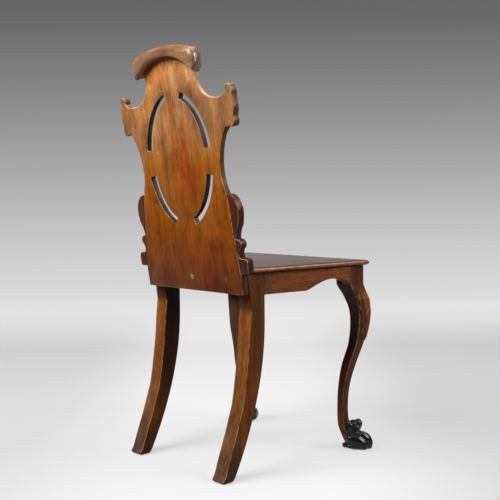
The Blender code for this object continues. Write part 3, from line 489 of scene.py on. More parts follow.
steel, tree, shader, coordinates = new_finish("dull_steel")
spots = window(tree, noise_node(tree, coordinates["Object"], 700.0, 4.0, 0.6), 0.48, 0.62)
feed(tree, shader, Base_Color=mix_colours(tree, spots, (0.36, 0.35, 0.34), (0.13, 0.06, 0.03)),
     Metallic=math_node(tree, 'SUBTRACT', 1.0, times(tree, spots, 0.8)),
     Roughness=math_node(tree, 'ADD', times(tree, spots, 0.35), 0.38), Normal=bump_node(tree, spots, 0.3, 0.0002))
print("finishes", len(bpy.data.materials))

# %% [markdown]
# A joiner draws each piece as a line on the board, so the same few curves serve everywhere:
# arcs, one cubic curve, and a smooth line through given points. Sizes are the CAD's own, and
# only the number of steps is larger here.

# %% Lines and curves
gap = 0.0003


def arc(centre, radius, start, end, steps):
    """Points of a circular arc."""
    turns = [start + (end - start) * i / steps for i in range(steps + 1)]
    return [(centre[0] + radius * cos(a), centre[1] + radius * sin(a)) for a in turns]


def bezier(p0, p1, p2, p3, steps):
    """Points of one cubic curve."""
    line = []
    for i in range(steps + 1):
        t = i / steps
        weights = ((1 - t) ** 3, 3 * t * (1 - t) ** 2, 3 * t * t * (1 - t), t ** 3)
        line.append(tuple(sum(w * p[k] for w, p in zip(weights, (p0, p1, p2, p3))) for k in range(2)))
    return line


def smooth_through(points, steps):
    """A smooth open line through points of any number of coordinates."""
    padded = [points[0]] + list(points) + [points[-1]]
    line = []
    for before, p, q, after in zip(padded, padded[1:], padded[2:], padded[3:]):
        for i in range(steps):
            t = i / steps
            weights = (-t + 2 * t * t - t ** 3, 2 - 5 * t * t + 3 * t ** 3, t + 4 * t * t - 3 * t ** 3, t ** 3 - t * t)
            line.append(tuple(sum(w * c for w, c in zip(weights, values)) / 2 for values in zip(before, p, q, after)))
    line.append(tuple(points[-1]))
    return line


def smoothstep(low, high, value):
    """0 below low, 1 above high, smooth between."""
    t = min(1.0, max(0.0, (value - low) / (high - low)))
    return t * t * (3 - 2 * t)


def with_neighbours(line):
    """Each point of a closed line between the one before it and the one after it."""
    points = [Vector(spot) for spot in line]
    return zip(points[-1:] + points[:-1], points, points[1:] + points[:1])


def eased(line, reach):
    """A closed line with its sharp corners rounded over a short reach."""
    soft = []
    for before, here, after in with_neighbours(line):
        if (here - before).angle(after - here) < 0.7:
            soft.append(tuple(here))
            continue
        start, end = (here + (other - here).normalized() * reach for other in (before, after))
        soft += [tuple(start * (1 - t) ** 2 + here * (2 * t * (1 - t)) + end * t * t)
                 for t in (0, 0.2, 0.4, 0.6, 0.8, 1)]
    return soft


def scaled(origin, size, shares):
    """Points at shares of a width and a height from an origin."""
    return [(origin[0] + size[0] * a, origin[1] + size[1] * b) for a, b in shares]


def mirrored(points):
    """The same line on the other side, run backwards."""
    return [(-x, y) for x, y in reversed(points)]


# %% [markdown]
# Flat carved pieces start as filled 2D curves. Blender rounds a curve's arrises itself when it
# is given a bevel depth, and a negative offset keeps the outline at its size, so the rounded
# piece stays inside the CAD solid. A Bevel modifier could do it too, but it struggles where
# the outline turns tightly.

# %% Mesh helpers
def written(work, name):
    """A mesh from a bmesh, its faces turned outwards. The bmesh is freed."""
    bmesh.ops.recalc_face_normals(work, faces=work.faces)
    mesh = bpy.data.meshes.new(name)
    work.to_mesh(mesh)
    work.free()
    return mesh


def weld(mesh, distance=0.00002):
    """Join loose seams and turn all faces outwards."""
    work = bmesh.new()
    work.from_mesh(mesh)
    bmesh.ops.remove_doubles(work, verts=work.verts, dist=distance)
    bmesh.ops.dissolve_degenerate(work, edges=work.edges, dist=distance / 4)
    bmesh.ops.recalc_face_normals(work, faces=work.faces)
    work.to_mesh(mesh)
    work.free()
    return mesh


def mesh_of(holder):
    """The evaluated mesh of an object, which is then removed."""
    shown_objects.link(holder)
    bpy.context.view_layer.update()
    mesh = bpy.data.meshes.new_from_object(holder.evaluated_get(bpy.context.evaluated_depsgraph_get()))
    bpy.data.objects.remove(holder, do_unlink=True)
    return weld(mesh)


def plate(outlines, thickness, rounded_by, low=0.0, rounding=2):
    """A flat piece with rounded arrises, from low to low + thickness."""
    curve = bpy.data.curves.new("plate", 'CURVE')
    curve.dimensions, curve.fill_mode = '2D', 'BOTH'
    curve.extrude, curve.offset = thickness / 2 - rounded_by, -rounded_by
    curve.bevel_depth, curve.bevel_resolution = rounded_by, rounding
    for outline in outlines:
        spline = curve.splines.new('POLY')
        spline.points.add(len(outline) - 1)
        for point, place in zip(spline.points, outline):
            point.co = (place[0], place[1], 0.0, 1.0)
        spline.use_cyclic_u = True
    mesh = mesh_of(bpy.data.objects.new("plate", curve))
    mesh.transform(Matrix.Translation((0, 0, low + thickness / 2)))
    return mesh


def moved_in(line, amounts):
    """A closed line moved to its left, where the wood is, each point by its own amount."""
    moved = []
    for (before, here, after), amount in zip(with_neighbours(line), amounts):
        come, leave = (here - before).normalized(), (after - here).normalized()
        left = Vector((-come.y - leave.y, come.x + leave.x))
        moved.append(here + left * (2 * amount / max(1.0, left.length_squared)))
    return moved


# rows of points up the edge of the pierced board. Each has its height from the back as a share of
# the arris, or from the front as a share of the chamfer, its inset as shares of both, how worn it
# is, how dark it is painted as shade on the sawn wall, and the power by which that painted shade
# pales where the sawn wall is pale
edge_rows = ((0.0, None, 1.0, 0.0, 0.1, 0.0, 1), (0.3, None, 0.3, 0.0, 1.0, 0.0, 1),
             (1.0, None, 0.0, 0.0, 0.4, 0.4, 1), (1.7, None, 0.0, 0.0, 0.0, 1.0, 1),
             (None, 1.0, 0.0, 0.0, 0.2, 1.0, 1), (None, 0.5, 0.0, 0.5, 0.0, 0.9, 2),
             (None, 0.06, 0.0, 0.94, 0.0, 1.0, 2), (None, 0.0, 0.0, 1.05, 0.0, 0.0, 1))


def pierced_board(loops, thickness, arris):
    """A board with chamfers of its own at each point of its front edges. A loop is a line with the
    wood on its left, the chamfer at each point, and how dark its sawn wall is painted, as painted shade."""
    work = bmesh.new()
    worn_and_glint_layer, wall_shade_layer = (work.verts.layers.float.new(label) for label in ("arris", "hollow"))
    caps = [[], []]
    for line, chamfers, dark in loops:
        # the bold chamfers round the neck get full wear and no shade, and the outline's other chamfers some wear: pale
        # lines that are partly a painted highlight
        bolds = [smoothstep(0.0045, 0.008, chamfer) for chamfer in chamfers]
        rounds = [arris * (1 + 1.4 * bold) for bold in bolds]
        rows = []
        for from_back, from_front, inset, front_inset, worn, shade, power in edge_rows:
            on_cap = 0.0 in (from_back, from_front)
            edge = moved_in(line, [reach * inset + chamfer * front_inset for reach, chamfer in zip(rounds, chamfers)])
            row = []
            for spot, chamfer, reach, bold in zip(edge, chamfers, rounds, bolds):
                height = reach * from_back if from_front is None else thickness - chamfer * from_front
                vert = work.verts.new((spot.x, spot.y, height))
                vert[worn_and_glint_layer] = 0.0 if on_cap else max(worn, bold, front_inset * (1 - dark))
                vert[wall_shade_layer] = shade * dark ** power * (1 - bold)
                row.append(vert)
            rows.append(row)
        for lower, upper in zip(rows, rows[1:]):
            for i in range(len(line)):
                work.faces.new((lower[i - 1], lower[i], upper[i], upper[i - 1]))
        for cap, row in zip(caps, (rows[0], rows[-1])):
            cap += [work.edges.get((row[i - 1], row[i])) for i in range(len(line))]
    for cap in caps:
        bmesh.ops.triangle_fill(work, use_beauty=True, edges=cap)
    return written(work, "board")


def ring_knife(centre, radius, thick, height, turns=36, steps=12):
    """A ring that cuts a round groove."""
    work = bmesh.new()
    rows = []
    for turn in (2 * pi * i / turns for i in range(turns)):
        rows.append([work.verts.new((centre[0] + (radius + thick * cos(a)) * cos(turn),
                                     centre[1] + (radius + thick * cos(a)) * sin(turn), height + thick * sin(a)))
                     for a in (2 * pi * j / steps for j in range(steps))])
    for i in range(turns):
        for j in range(steps):
            work.faces.new((rows[i - 1][j - 1], rows[i][j - 1], rows[i][j], rows[i - 1][j]))
    return written(work, "ring_knife")


def skin(rings):
    """A skin over rings of equal point counts, with closed ends."""
    work = bmesh.new()
    rows = [[work.verts.new(point) for point in ring] for ring in rings]
    count = len(rings[0])
    for lower, upper in zip(rows, rows[1:]):
        for i in range(count):
            j = (i + 1) % count
            work.faces.new((lower[i], lower[j], upper[j], upper[i]))
    work.faces.new(rows[0])
    work.faces.new(rows[-1])
    return written(work, "skin")


def placed(mesh, matrix):
    """A moved copy of a mesh, its faces still outwards."""
    copy = mesh.copy()
    copy.transform(matrix)
    if matrix.determinant() < 0:
        copy.flip_normals()
    return copy


def cut_away(mesh, cutter):
    """Take one mesh from another."""
    piece = bpy.data.objects.new("piece", mesh)
    knife = bpy.data.objects.new("knife", cutter)
    shown_objects.link(knife)
    step = piece.modifiers.new("cut", 'BOOLEAN')
    step.operation, step.solver, step.object = 'DIFFERENCE', 'EXACT', knife
    result = mesh_of(piece)
    bpy.data.objects.remove(knife, do_unlink=True)
    return result


# wear is left off the corners of faces with more than this area, and grows between two edge angles
broad_face, usual_sharp = 0.00002, (0.12, 0.45)


def mark_wear(mesh, sharp=usual_sharp):
    """Store at each point how sharply the surface turns outwards (arris) and inwards (hollow)."""
    work = bmesh.new()
    work.from_mesh(mesh)
    work.normal_update()
    out_layer, in_layer = (work.verts.layers.float.new(label) for label in ("arris", "hollow"))
    for vert in work.verts:
        if any(face.calc_area() > broad_face for face in vert.link_faces):
            continue
        turns = [edge.calc_face_angle_signed(0.0) for edge in vert.link_edges if len(edge.link_faces) == 2]
        if turns:
            vert[out_layer], vert[in_layer] = smoothstep(*sharp, max(turns)), smoothstep(*sharp, -min(turns))
    work.to_mesh(mesh)
    work.free()


def add_piece(name, mesh, material, slot, node, smooth=35, sharp=usual_sharp):
    """Put a finished mesh in the chair: shading, wear, finish, body and the CAD node it stands for."""
    if "arris" not in mesh.attributes:
        mark_wear(mesh, sharp)
    mesh.name = name
    mesh.materials.clear()
    mesh.materials.append(material)
    mesh.shade_smooth()
    mesh.set_sharp_from_angle(angle=radians(smooth))
    piece = bpy.data.objects.new(name, mesh)
    shown_objects.link(piece)
    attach(piece, "root")
    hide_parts(node)


sides = {"right": Matrix.Diagonal((-1, 1, 1, 1)), "left": Matrix.Identity(4)}


def add_pair(name, mesh, material, slot, node, **options):
    """The same piece on both sides of the chair."""
    for side, flip in sides.items():
        add_piece(name + side, placed(mesh, flip), material, slot, node + side, **options)


print("mesh helpers ready")

# %% [markdown]
# The board back is one wide quartered board with four slots that follow an oval. It leans on
# the rear legs, so it is drawn in its own frame: X across, Y up the slope, Z out of its front.
# Its rear arrises are softened, its front edges are chamfered, boldly round the neck and less
# at the waist and the slots, and the plug holes are cut with a Boolean, as real ones are bored.

# %% Sizes of the back
back_rake, back_floor_y = radians(7.46), 0.0914
back_lean = tan(back_rake)
back_thickness, back_bottom_height = 0.017, 0.3897
back_crown, crest_arch_radius, neck_half = 0.5095, 0.1361, 0.0868
arch_centre = back_crown - crest_arch_radius
back_foot = Vector((0, back_floor_y + back_lean * back_bottom_height, back_bottom_height))
back_frame = Matrix.Translation(back_foot) @ Matrix.Rotation(pi / 2 - back_rake, 4, 'X')
lower_scroll_bottom, lower_scroll_height, lower_scroll_width = 0.0467, 0.166, 0.0257
lower_joint_bottom_half, lower_joint_top_half = 0.160, 0.144
ear_joint_half, ear_bottom, ear_height, ear_width, ear_joint_length = 0.161, 0.351, 0.0855, 0.0313, 0.0623
valley_radius, waist_half = 0.050, 0.1325
scroll_top, ear_joint_top = lower_scroll_bottom + lower_scroll_height, ear_bottom + ear_joint_length
board_foot_half, board_ledge_half = 0.161, 0.1636
board_arris, waist_chamfer, neck_chamfer, slot_chamfer = 0.0014, 0.0035, 0.0080, 0.0045
slot_middle, slot_outer, slot_inner, slot_corner = 0.2898, (0.1105, 0.1483), (0.0895, 0.1336), 0.0024
slot_angles = ((14.6, 81.0), (104.3, 162.0))
plug_spread, plug_height, bore_radius, bore_depth, bore_lead = 0.110, 0.0315, 0.0061, 0.0054, 0.004
# painted shade: how dark the sawn walls of the outline and of the slots are painted
outer_wall_shade, slot_wall_shade = 0.45, 1.0


def back_front_y(height):
    """Y of the board's front face at a height above the floor."""
    return back_floor_y + back_lean * height - back_thickness / cos(back_rake)


# %% Board back
def waist_edge():
    """The board's edge from the lobe's ledge up to the foot of the ear's joint."""
    start = (lower_joint_top_half - 0.003, scroll_top)
    end = (ear_joint_half, ear_bottom)
    low = (waist_half, start[1] + 0.34 * (end[1] - start[1]))
    lower = bezier(start, (start[0] - 0.45 * (start[0] - low[0]), start[1] + 0.50 * (low[1] - start[1])),
                   (low[0], low[1] - 0.40 * (low[1] - start[1])), low, 14)
    upper = bezier(low, (low[0], low[1] + 0.50 * (end[1] - low[1])),
                   (end[0] - 0.42 * (end[0] - low[0]), end[1] - 0.20 * (end[1] - low[1])), end, 24)
    return lower + upper[1:]


def board_outline():
    """The outline of the main board, anticlockwise from the right of its foot."""
    half = [(board_foot_half, 0.0), (board_ledge_half, lower_scroll_bottom - gap),
            (lower_joint_bottom_half, lower_scroll_bottom - gap), (lower_joint_top_half, scroll_top)]
    half += waist_edge()
    half += [(ear_joint_half - 0.006 * i, ear_joint_top) for i in range(4)]
    half += arc((neck_half + valley_radius, ear_joint_top + valley_radius), valley_radius, -pi / 2, -pi, 28)
    half_swing = asin(neck_half / crest_arch_radius)
    top = arc((0, arch_centre), crest_arch_radius, pi / 2 - half_swing, pi / 2 + half_swing, 48)
    return half + top + mirrored(half)


def slot_outline(start, end):
    """One slot between two ovals, from one angle to the other."""
    turns = [radians(start + (end - start) * i / 44) for i in range(45)]
    outer, inner = ([(wide * sin(a), slot_middle + tall * cos(a)) for a in turns]
                    for wide, tall in (slot_outer, slot_inner))
    return outer + inner[::-1]


def front_chamfer(spot):
    """How far the board's front edge is cut back at a point of its outline."""
    across, height = abs(spot[0]), spot[1]
    neck_top = arch_centre + sqrt(crest_arch_radius ** 2 - neck_half ** 2)
    if height < ear_bottom:
        return board_arris + waist_chamfer * smoothstep(0.001, 0.014, min(height - scroll_top, ear_bottom - height))
    return board_arris + neck_chamfer * smoothstep(0.0, 0.016, min(ear_joint_half - across, neck_top - height))


outline = board_outline()
loops = [(outline, [front_chamfer(spot) for spot in outline], outer_wall_shade)]
for angles in slot_angles:
    slot = eased(slot_outline(*angles), slot_corner)
    loops += [(line, [slot_chamfer] * len(line), slot_wall_shade) for line in (slot, mirrored(slot))]
board = pierced_board(loops, back_thickness, board_arris)
for x in (-plug_spread, 0.0, plug_spread):
    bore = arc((x, plug_height), bore_radius, 0, 2 * pi, 40)[:-1]
    board = cut_away(board, plate([bore], bore_depth + bore_lead, 0.0001, -bore_lead))
add_piece("back_board", placed(board, back_frame), oak_back, "oak_back", "back_panel")
print("board back", len(board.polygons), "faces")

# %% [markdown]
# The ears and the lower scrolls were glued on where the board was too narrow. They are the
# same kind of flat piece, with softer arrises, because small carved ends get rubbed most.

# %% Ears and lower scrolls
ear_arris, scroll_arris = 0.0024, 0.0013
ear_rings = ((0.0062, 0.0010), (0.0026, 0.0009))
ear_shares = ((0.34, 0.00), (0.44, 0.03), (0.55, -0.01), (0.74, 0.00), (0.87, 0.045), (0.93, 0.125),
              (0.88, 0.26), (0.99, 0.42), (0.95, 0.60), (0.93, 0.72), (0.95, 0.84), (0.83, 0.96),
              (0.62, 1.00), (0.42, 0.985), (0.30, 0.92), (0.32, 0.83), (0.16, 0.785))
ear_origin, ear_size = (ear_joint_half, ear_bottom), (ear_width, ear_height)
ear_line = [(ear_joint_half + gap, ear_bottom)] + scaled(ear_origin, ear_size, ear_shares)
ear_line.append((ear_joint_half + gap, ear_joint_top))
ear = plate([smooth_through(ear_line, 7)], back_thickness, ear_arris, rounding=3)
knob = scaled(ear_origin, ear_size, ((0.63, 0.885),))[0]
for face_height in (0.0, back_thickness):
    for radius, thick in ear_rings:
        ear = cut_away(ear, ring_knife(knob, radius, thick, face_height))

square_scroll_shares = ((0.92, 0.0), (0.97, 0.03), (1.0, 0.13), (0.95, 0.17), (0.78, 0.188), (0.30, 0.19),
                        (0.10, 0.205), (0.07, 0.26))
lobe_shares = ((-0.13, 0.444), (0.06, 0.545), (0.39, 0.638), (0.525, 0.796), (0.35, 0.893), (0.12, 0.948),
               (-0.16, 0.985), (-0.40, 1.0))
scroll_origin = (lower_joint_bottom_half, lower_scroll_bottom)
scroll_size = (lower_scroll_width, lower_scroll_height)
scroll_line = [(lower_joint_bottom_half + gap, lower_scroll_bottom)]
scroll_line += scaled(scroll_origin, scroll_size, square_scroll_shares)
scroll_line += arc(scaled(scroll_origin, scroll_size, ((0.04, 0.37),))[0], lower_scroll_width * 0.41, radians(-66),
                   radians(100), 24)
scroll_line += smooth_through(scaled(scroll_origin, scroll_size, lobe_shares), 9)
scroll_line.append((lower_joint_top_half + gap, scroll_top))
scroll = plate([scroll_line], back_thickness, scroll_arris)
for side, flip in sides.items():
    add_piece("carved_ear_" + side, placed(ear, flip @ back_frame), oak_ears, "oak_carved", "ear_" + side,
              sharp=(0.26, 0.39))
    add_piece("carved_scroll_" + side, placed(scroll, flip @ back_frame), oak_scrolls, "oak_carved",
              "lower_scroll_" + side, sharp=(0.30, 0.52))
print("ear", len(ear.polygons), "scroll", len(scroll.polygons), "faces")

# %% [markdown]
# The crest is an arched roll that caps the board and hangs over it behind. A curve with a
# bevel object could sweep its section, but the roll swells and its ends are rounded, so the
# sections are laid out one by one and skinned, close enough to shade as one round surface.

# %% Crest
crest_half_length, crest_middle_height, crest_end_drop, crest_end_corner = 0.112, 0.0226, 0.0138, 0.0146
crest_overhang, crest_end_run = 0.0217, 0.020
crest_depth = back_thickness + crest_overhang
crest_section = ((1.0, 0.0), (0.62, 0.0), (0.25, 0.0), (0.11, 0.05), (0.03, 0.20), (0.0, 0.46), (0.03, 0.72),
                 (0.13, 0.91), (0.30, 1.0), (0.60, 1.0), (0.82, 0.94), (0.95, 0.80), (1.0, 0.58), (1.0, 0.22))
crest_section = smooth_through(crest_section + crest_section[:1], 4)[:-1]


def crest_ring(x, squeeze):
    """One section at x, squeezed about its middle where the crest's end is rounded."""
    under_half = crest_half_length - crest_end_corner
    top_radius = (under_half ** 2 + crest_end_drop ** 2) / (2 * crest_end_drop)
    top_centre = back_crown + crest_middle_height - top_radius
    past_neck = max(0.0, abs(x) - neck_half) / (crest_half_length - neck_half)
    ring = []
    for shares in crest_section:
        depth_share, height_share = (0.5 + (min(1.0, max(0.0, share)) - 0.5) * squeeze for share in shares)
        place = x - copysign(crest_end_corner * past_neck * depth_share, x)
        low = arch_centre + sqrt((crest_arch_radius + gap) ** 2 - min(abs(place), under_half) ** 2)
        low += 0.45 * max(0.0, abs(place) - under_half)
        high = top_centre + sqrt(top_radius ** 2 - place ** 2)
        ring.append((place, low + height_share * (high - low), depth_share * crest_depth - crest_overhang))
    return ring


swing = asin(neck_half / crest_arch_radius)
crest_rings = [crest_ring(crest_arch_radius * sin(swing * (i / 28 - 1)), 1.0) for i in range(57)]
left_end = []
for share in (1.0, 0.9, 0.78, 0.65, 0.5, 0.38, 0.28, 0.2, 0.13, 0.08, 0.045, 0.02, 0.006, 0.0):
    squeeze = max(0.04, (1 - (1 - share) ** 2.2) ** 0.45)
    left_end.append(crest_ring(crest_half_length - share * crest_end_run, squeeze))
right_end = [[(-x, y, z) for x, y, z in ring] for ring in reversed(left_end)]
crest = skin(right_end + crest_rings + left_end)
add_piece("crest_roll", placed(crest, back_frame), oak_crest, "oak_carved", "crest_rail", smooth=50)
print("crest", len(crest.polygons), "faces")

# %% [markdown]
# The seat is a thin board with a thumbnail edge on its front and sides: a small quarter round
# on top and an undercut below. Its section is laid out as offsets and heights, and a ring
# with rounded corners is drawn for each.

# %% Seat board
seat_height, seat_thickness, seat_overhang = 0.4466, 0.013, 0.011
front_half_width, front_face_y, block_side = 0.197, -0.2074, 0.0451
rear_leg_outer, rear_leg_inner, rear_leg_front_y = 0.163, 0.126, 0.0808
seat_splay = (front_half_width - rear_leg_outer) / (rear_leg_front_y - front_face_y + seat_overhang)


def seat_ring(height, overhang):
    """The seat's outline at one height, for one overhang beyond the frame."""
    back_y = back_front_y(height) - gap
    front_y = front_face_y - overhang
    side_back = rear_leg_outer + seat_splay * (rear_leg_front_y - back_y) + overhang
    side_front = front_half_width + overhang
    corner = 0.5 * seat_overhang
    rounded = bezier((side_front, front_y + corner), (side_front, front_y + 0.3 * corner),
                     (side_front - 0.3 * corner, front_y), (side_front - corner, front_y), 6)
    back_steps = [(side_back + (side_front - side_back) * i / 12, back_y + (front_y + corner - back_y) * i / 12)
                  for i in range(12)]
    front_steps = [((side_front - corner) * (1 - i / 10), front_y) for i in range(1, 11)]
    half = back_steps + rounded + front_steps
    return [(x, y, height) for x, y in half + mirrored(half)[1:]]


seat_section = [(-0.03, -seat_thickness), (0.0015, -seat_thickness), (0.0050, -seat_thickness + 0.0012),
                (0.0088, -0.0100), (0.0106, -0.0084), (0.0110, -0.0065), (0.0109, -0.0044), (0.0100, -0.0027),
                (0.0078, -0.0014), (0.0050, -0.0007), (0.0018, -0.0002), (-0.0015, 0.0), (-0.03, 0.0)]
seat_rings = [seat_ring(seat_height + rise, out_by) for out_by, rise in seat_section]
seat = skin(seat_rings)
add_piece("seat_plank", seat, oak_seat, "oak_seat", "seat_board", sharp=(0.20, 0.60))
print("seat", len(seat.polygons), "faces")

# %% [markdown]
# The rails are cut from one pattern: a straight run, a double curve up, then a bracket that
# comes down to the knee. The side rails run out towards the front, so their plates are
# sheared; the rear rail is plain and leans with the board.

# %% Rails
rail_depth, rail_thickness, bracket_rise, bracket_dip = 0.0463, 0.022, 0.0222, 0.0179
side_plain_run, side_cyma_run, front_cyma_run, front_bracket_run = 0.112, 0.077, 0.062, 0.052
rail_arris, brace_arris, front_rail_inset = 0.0008, 0.0007, 0.001
brace_width, brace_length, brace_inset = 0.0386, 0.197, 0.0054
rail_top = seat_height - seat_thickness - gap
rail_bottom = rail_top - rail_depth
block_foot = rail_top - 0.0423
block_back_y = front_face_y + block_side
block_inner_x = front_half_width - block_side
rail_splay = (front_half_width - rear_leg_outer) / (block_back_y - rear_leg_front_y)
upright_turn = Matrix(((0, 0, 1, 0), (1, 0, 0, 0), (0, 1, 0, 0), (0, 0, 0, 1)))


def cyma_edge(start, length):
    """A double curve that climbs along length."""
    shares = ((0.0, 0.0), (0.13, 0.0), (0.58, 1.0), (1.0, 1.0))
    return bezier(*scaled((start, 0.0), (length, bracket_rise), shares), 22)


def bracket_edge(start, length):
    """The lower edge of a rail as it comes down to the knee."""
    shares = ((0.0, 0.0), (0.5, 0.05), (0.8, 0.45), (1.0, 1.0))
    return bezier(*scaled((start, bracket_rise), (length, -bracket_dip), shares), 16)[1:]


start_y = rear_leg_front_y - gap
run = start_y - (block_back_y + gap)
bracket_start = side_plain_run + side_cyma_run
side_line = [(0.0, 0.0)] + cyma_edge(side_plain_run, side_cyma_run) + bracket_edge(bracket_start, run - bracket_start)
side_outline = [(start_y - x, rail_bottom + y) for x, y in side_line]
side_outline += [(start_y - run, rail_top), (start_y, rail_top)]
side_rail = plate([side_outline], rail_thickness, rail_arris)
shear = Matrix.Identity(4)
shear[0][1], shear[0][3] = rail_splay, -rail_splay * rear_leg_front_y
side_rail = placed(side_rail, shear @ Matrix.Translation((rear_leg_outer - rail_thickness, 0, 0)) @ upright_turn)
add_pair("shaped_side_rail_", side_rail, oak_side_rails, "oak_frame", "side_rail_")

half = block_inner_x - gap
front_line = cyma_edge(half - front_bracket_run - front_cyma_run, front_cyma_run)
front_line += bracket_edge(half - front_bracket_run, front_bracket_run)
front_half_outline = [(x, rail_bottom + y) for x, y in front_line] + [(half, rail_top)]
front_rail = plate([front_half_outline + mirrored(front_half_outline)], rail_thickness, rail_arris)
facing_front = Matrix.Rotation(pi / 2, 4, 'X')
front_rail_site = Matrix.Translation((0, front_face_y + front_rail_inset + rail_thickness, 0)) @ facing_front
add_piece("shaped_front_rail", placed(front_rail, front_rail_site), oak_cross_rails, "oak_frame", "front_rail")

rear_rail_y = back_front_y(rail_bottom) - gap
rear_half = rear_leg_inner - gap
rear_front_face_y = rear_rail_y - rail_thickness
rear_section = [(rear_front_face_y, rail_bottom), (rear_rail_y, rail_bottom),
                (back_front_y(rail_top) - gap, rail_top), (rear_front_face_y, rail_top)]
rear_rail = plate([rear_section], 2 * rear_half, brace_arris, -rear_half)
add_piece("plain_rear_rail", placed(rear_rail, upright_turn), oak_cross_rails, "oak_frame", "rear_rail")
brace_shares = ((0.0, 0.0), (1.0, 0.0), (0.97, 0.08), (0.85, 0.34), (0.70, 0.47), (0.56, 0.60), (0.47, 0.73),
                (0.25, 0.90), (0.0, 1.0))
brace_line = scaled((-rear_leg_inner + gap, rail_bottom - gap), (brace_width, -brace_length), brace_shares)
brace = plate([brace_line[:2] + smooth_through(brace_line[2:], 4)], rail_thickness - brace_inset, brace_arris)
brace_site = Matrix.Translation((0, rear_rail_y - brace_inset, 0)) @ facing_front
add_piece("tapered_brace", placed(brace, brace_site), oak_brace, "oak_frame", "rear_brace")
print("side rail", len(side_rail.polygons), "front rail", len(front_rail.polygons), "faces")

# %% [markdown]
# The rear legs are sabre legs, sawn from a board 37 mm thick, with their arrises worn round.
# Each is one plate drawn from the side and stood upright. Its foot is then cut into a few
# bands, which narrow towards the sole, as old feet are rubbed round on all sides.

# %% Rear legs
rear_leg_arris, foot_top, sole_narrowing = 0.0015, 0.014, 0.30
foot_bands = (foot_top, 0.010, 0.0065, 0.0035)
rear_foot_front_y, rear_foot_back_y, rear_foot_round = 0.1740, 0.2034, 0.009
rear_bend_height, rear_kink_height = 0.335, 0.3556
rear_back_shares = ((0.0, 1.0), (0.053, 0.90), (0.113, 0.737), (0.28, 0.478), (0.421, 0.366),
                    (0.591, 0.253), (0.772, 0.146), (0.93, 0.045))
rear_sole_shares = ((0.20, 0.60), (-0.02, 0.26), (-0.42, 0.06), (-0.95, 0.0))


def rear_leg_outline():
    """Side view as (y, z), from the front of the sole up and down again behind."""
    front_sweep = rear_foot_front_y - rear_leg_front_y
    front_low, front_high = scaled((rear_leg_front_y, 0.0), (front_sweep, rear_bend_height),
                                   ((0.52, 0.25), (0.0, 0.60)))
    toe = 0.35 * rear_foot_round
    front = bezier((rear_foot_front_y, toe), front_low, front_high, (rear_leg_front_y, rear_bend_height), 40)
    kink_y = back_front_y(rear_kink_height) - gap
    back = scaled((kink_y, 0.0), (rear_foot_back_y - kink_y, rear_kink_height), rear_back_shares)
    sole = scaled((rear_foot_back_y, 0.0), (rear_foot_round, rear_foot_round), rear_sole_shares)
    top = [(rear_leg_front_y, rail_top), (back_front_y(rail_top) - gap, rail_top)]
    return front + top + smooth_through(back, 7) + sole + [(rear_foot_front_y + toe, 0.0)]


rear_leg_plate = plate([rear_leg_outline()], rear_leg_outer - rear_leg_inner, rear_leg_arris)
rear_leg = placed(rear_leg_plate, Matrix.Translation((rear_leg_inner, 0, 0)) @ upright_turn)
foot = bmesh.new()
foot.from_mesh(rear_leg)
for height in foot_bands:
    bmesh.ops.bisect_plane(foot, geom=foot.verts[:] + foot.edges[:] + foot.faces[:], plane_co=(0, 0, height),
                           plane_no=(0, 0, 1))
leg_middle = (rear_leg_inner + rear_leg_outer) / 2
for vert in foot.verts:
    sunk = max(0.0, 1 - vert.co.z / foot_top)
    vert.co.x = leg_middle + (vert.co.x - leg_middle) * (1 - sole_narrowing * (1 - sqrt(1 - sunk * sunk)))
foot.to_mesh(rear_leg)
foot.free()
add_pair("sabre_leg_", rear_leg, oak_rear_legs, "oak_legs", "rear_leg_")
print("rear leg", len(rear_leg.polygons), "faces")

# %% [markdown]
# The front legs are cabriole legs: a square section that swings out at the knee and in again
# above the ankle, with a leaf carved over the outer corner. The leaf could be a second piece,
# but it is carved from the same wood, so each ring of the leg is pushed out by the leaf's
# height at that place: a rib along the corner, and on both sides of it a narrow slit, beyond
# which the leaf lies a little higher.

# %% Cabriole sections
knee_reach, carving_length, carving_drop = 0.0213, 0.124, 0.014
leaf_relief, slit_half, slit_depth, lap_height = 0.0045, 0.0011, 0.0024, 0.0008
rib_half, rib_height, proud_height = 0.0020, 0.0007, 0.0012
carving_top = block_foot - carving_drop
block_centre = (front_half_width - block_side / 2, front_face_y + block_side / 2)
leg_section_shares = ((1.0, 0.0, 1.0), (0.972, 0.21, 0.976), (0.944, 0.47, 0.931), (0.895, 0.775, 0.843),
                      (0.854, 0.94, 0.765), (0.800, 1.0, 0.705), (0.726, 0.906, 0.643), (0.656, 0.69, 0.599),
                      (0.619, 0.516, 0.581), (0.517, -0.122, 0.554), (0.419, -0.563, 0.479),
                      (0.331, -0.775, 0.441), (0.249, -0.826, 0.430), (0.208, -0.808, 0.443),
                      (0.153, -0.728, 0.455), (0.118, -0.61, 0.421), (0.077, -0.40, 0.366),
                      (0.042, -0.19, 0.310))
leg_sections = smooth_through([(block_foot * a, knee_reach * b, block_side * c) for a, b, c in leg_section_shares], 8)
leg_sections.reverse()
leg_foot = leg_sections[0][0]
leaf_widths = ((0.0, 0.018), (0.06, 0.031), (0.16, 0.036), (0.34, 0.035), (0.46, 0.027), (0.62, 0.022),
               (0.80, 0.017), (0.92, 0.010), (1.0, 0.001))
leaf_reliefs = ((0.0, 0.10), (0.10, 0.42), (0.16, 0.90), (0.40, 1.10), (0.62, 1.10), (0.89, 0.80), (1.0, 0.15))
leaf_folds = ((0.34, 0.004), (0.47, 0.015), (0.72, 0.017))


def between_rows(table, place):
    """The values between the rows of a table whose first column climbs, held at both its ends."""
    place = min(max(place, table[0][0]), table[-1][0])
    for (low, *first), (high, *second) in zip(table, table[1:]):
        if place <= high:
            t = (place - low) / (high - low)
            return [a + (b - a) * t for a, b in zip(first, second)]


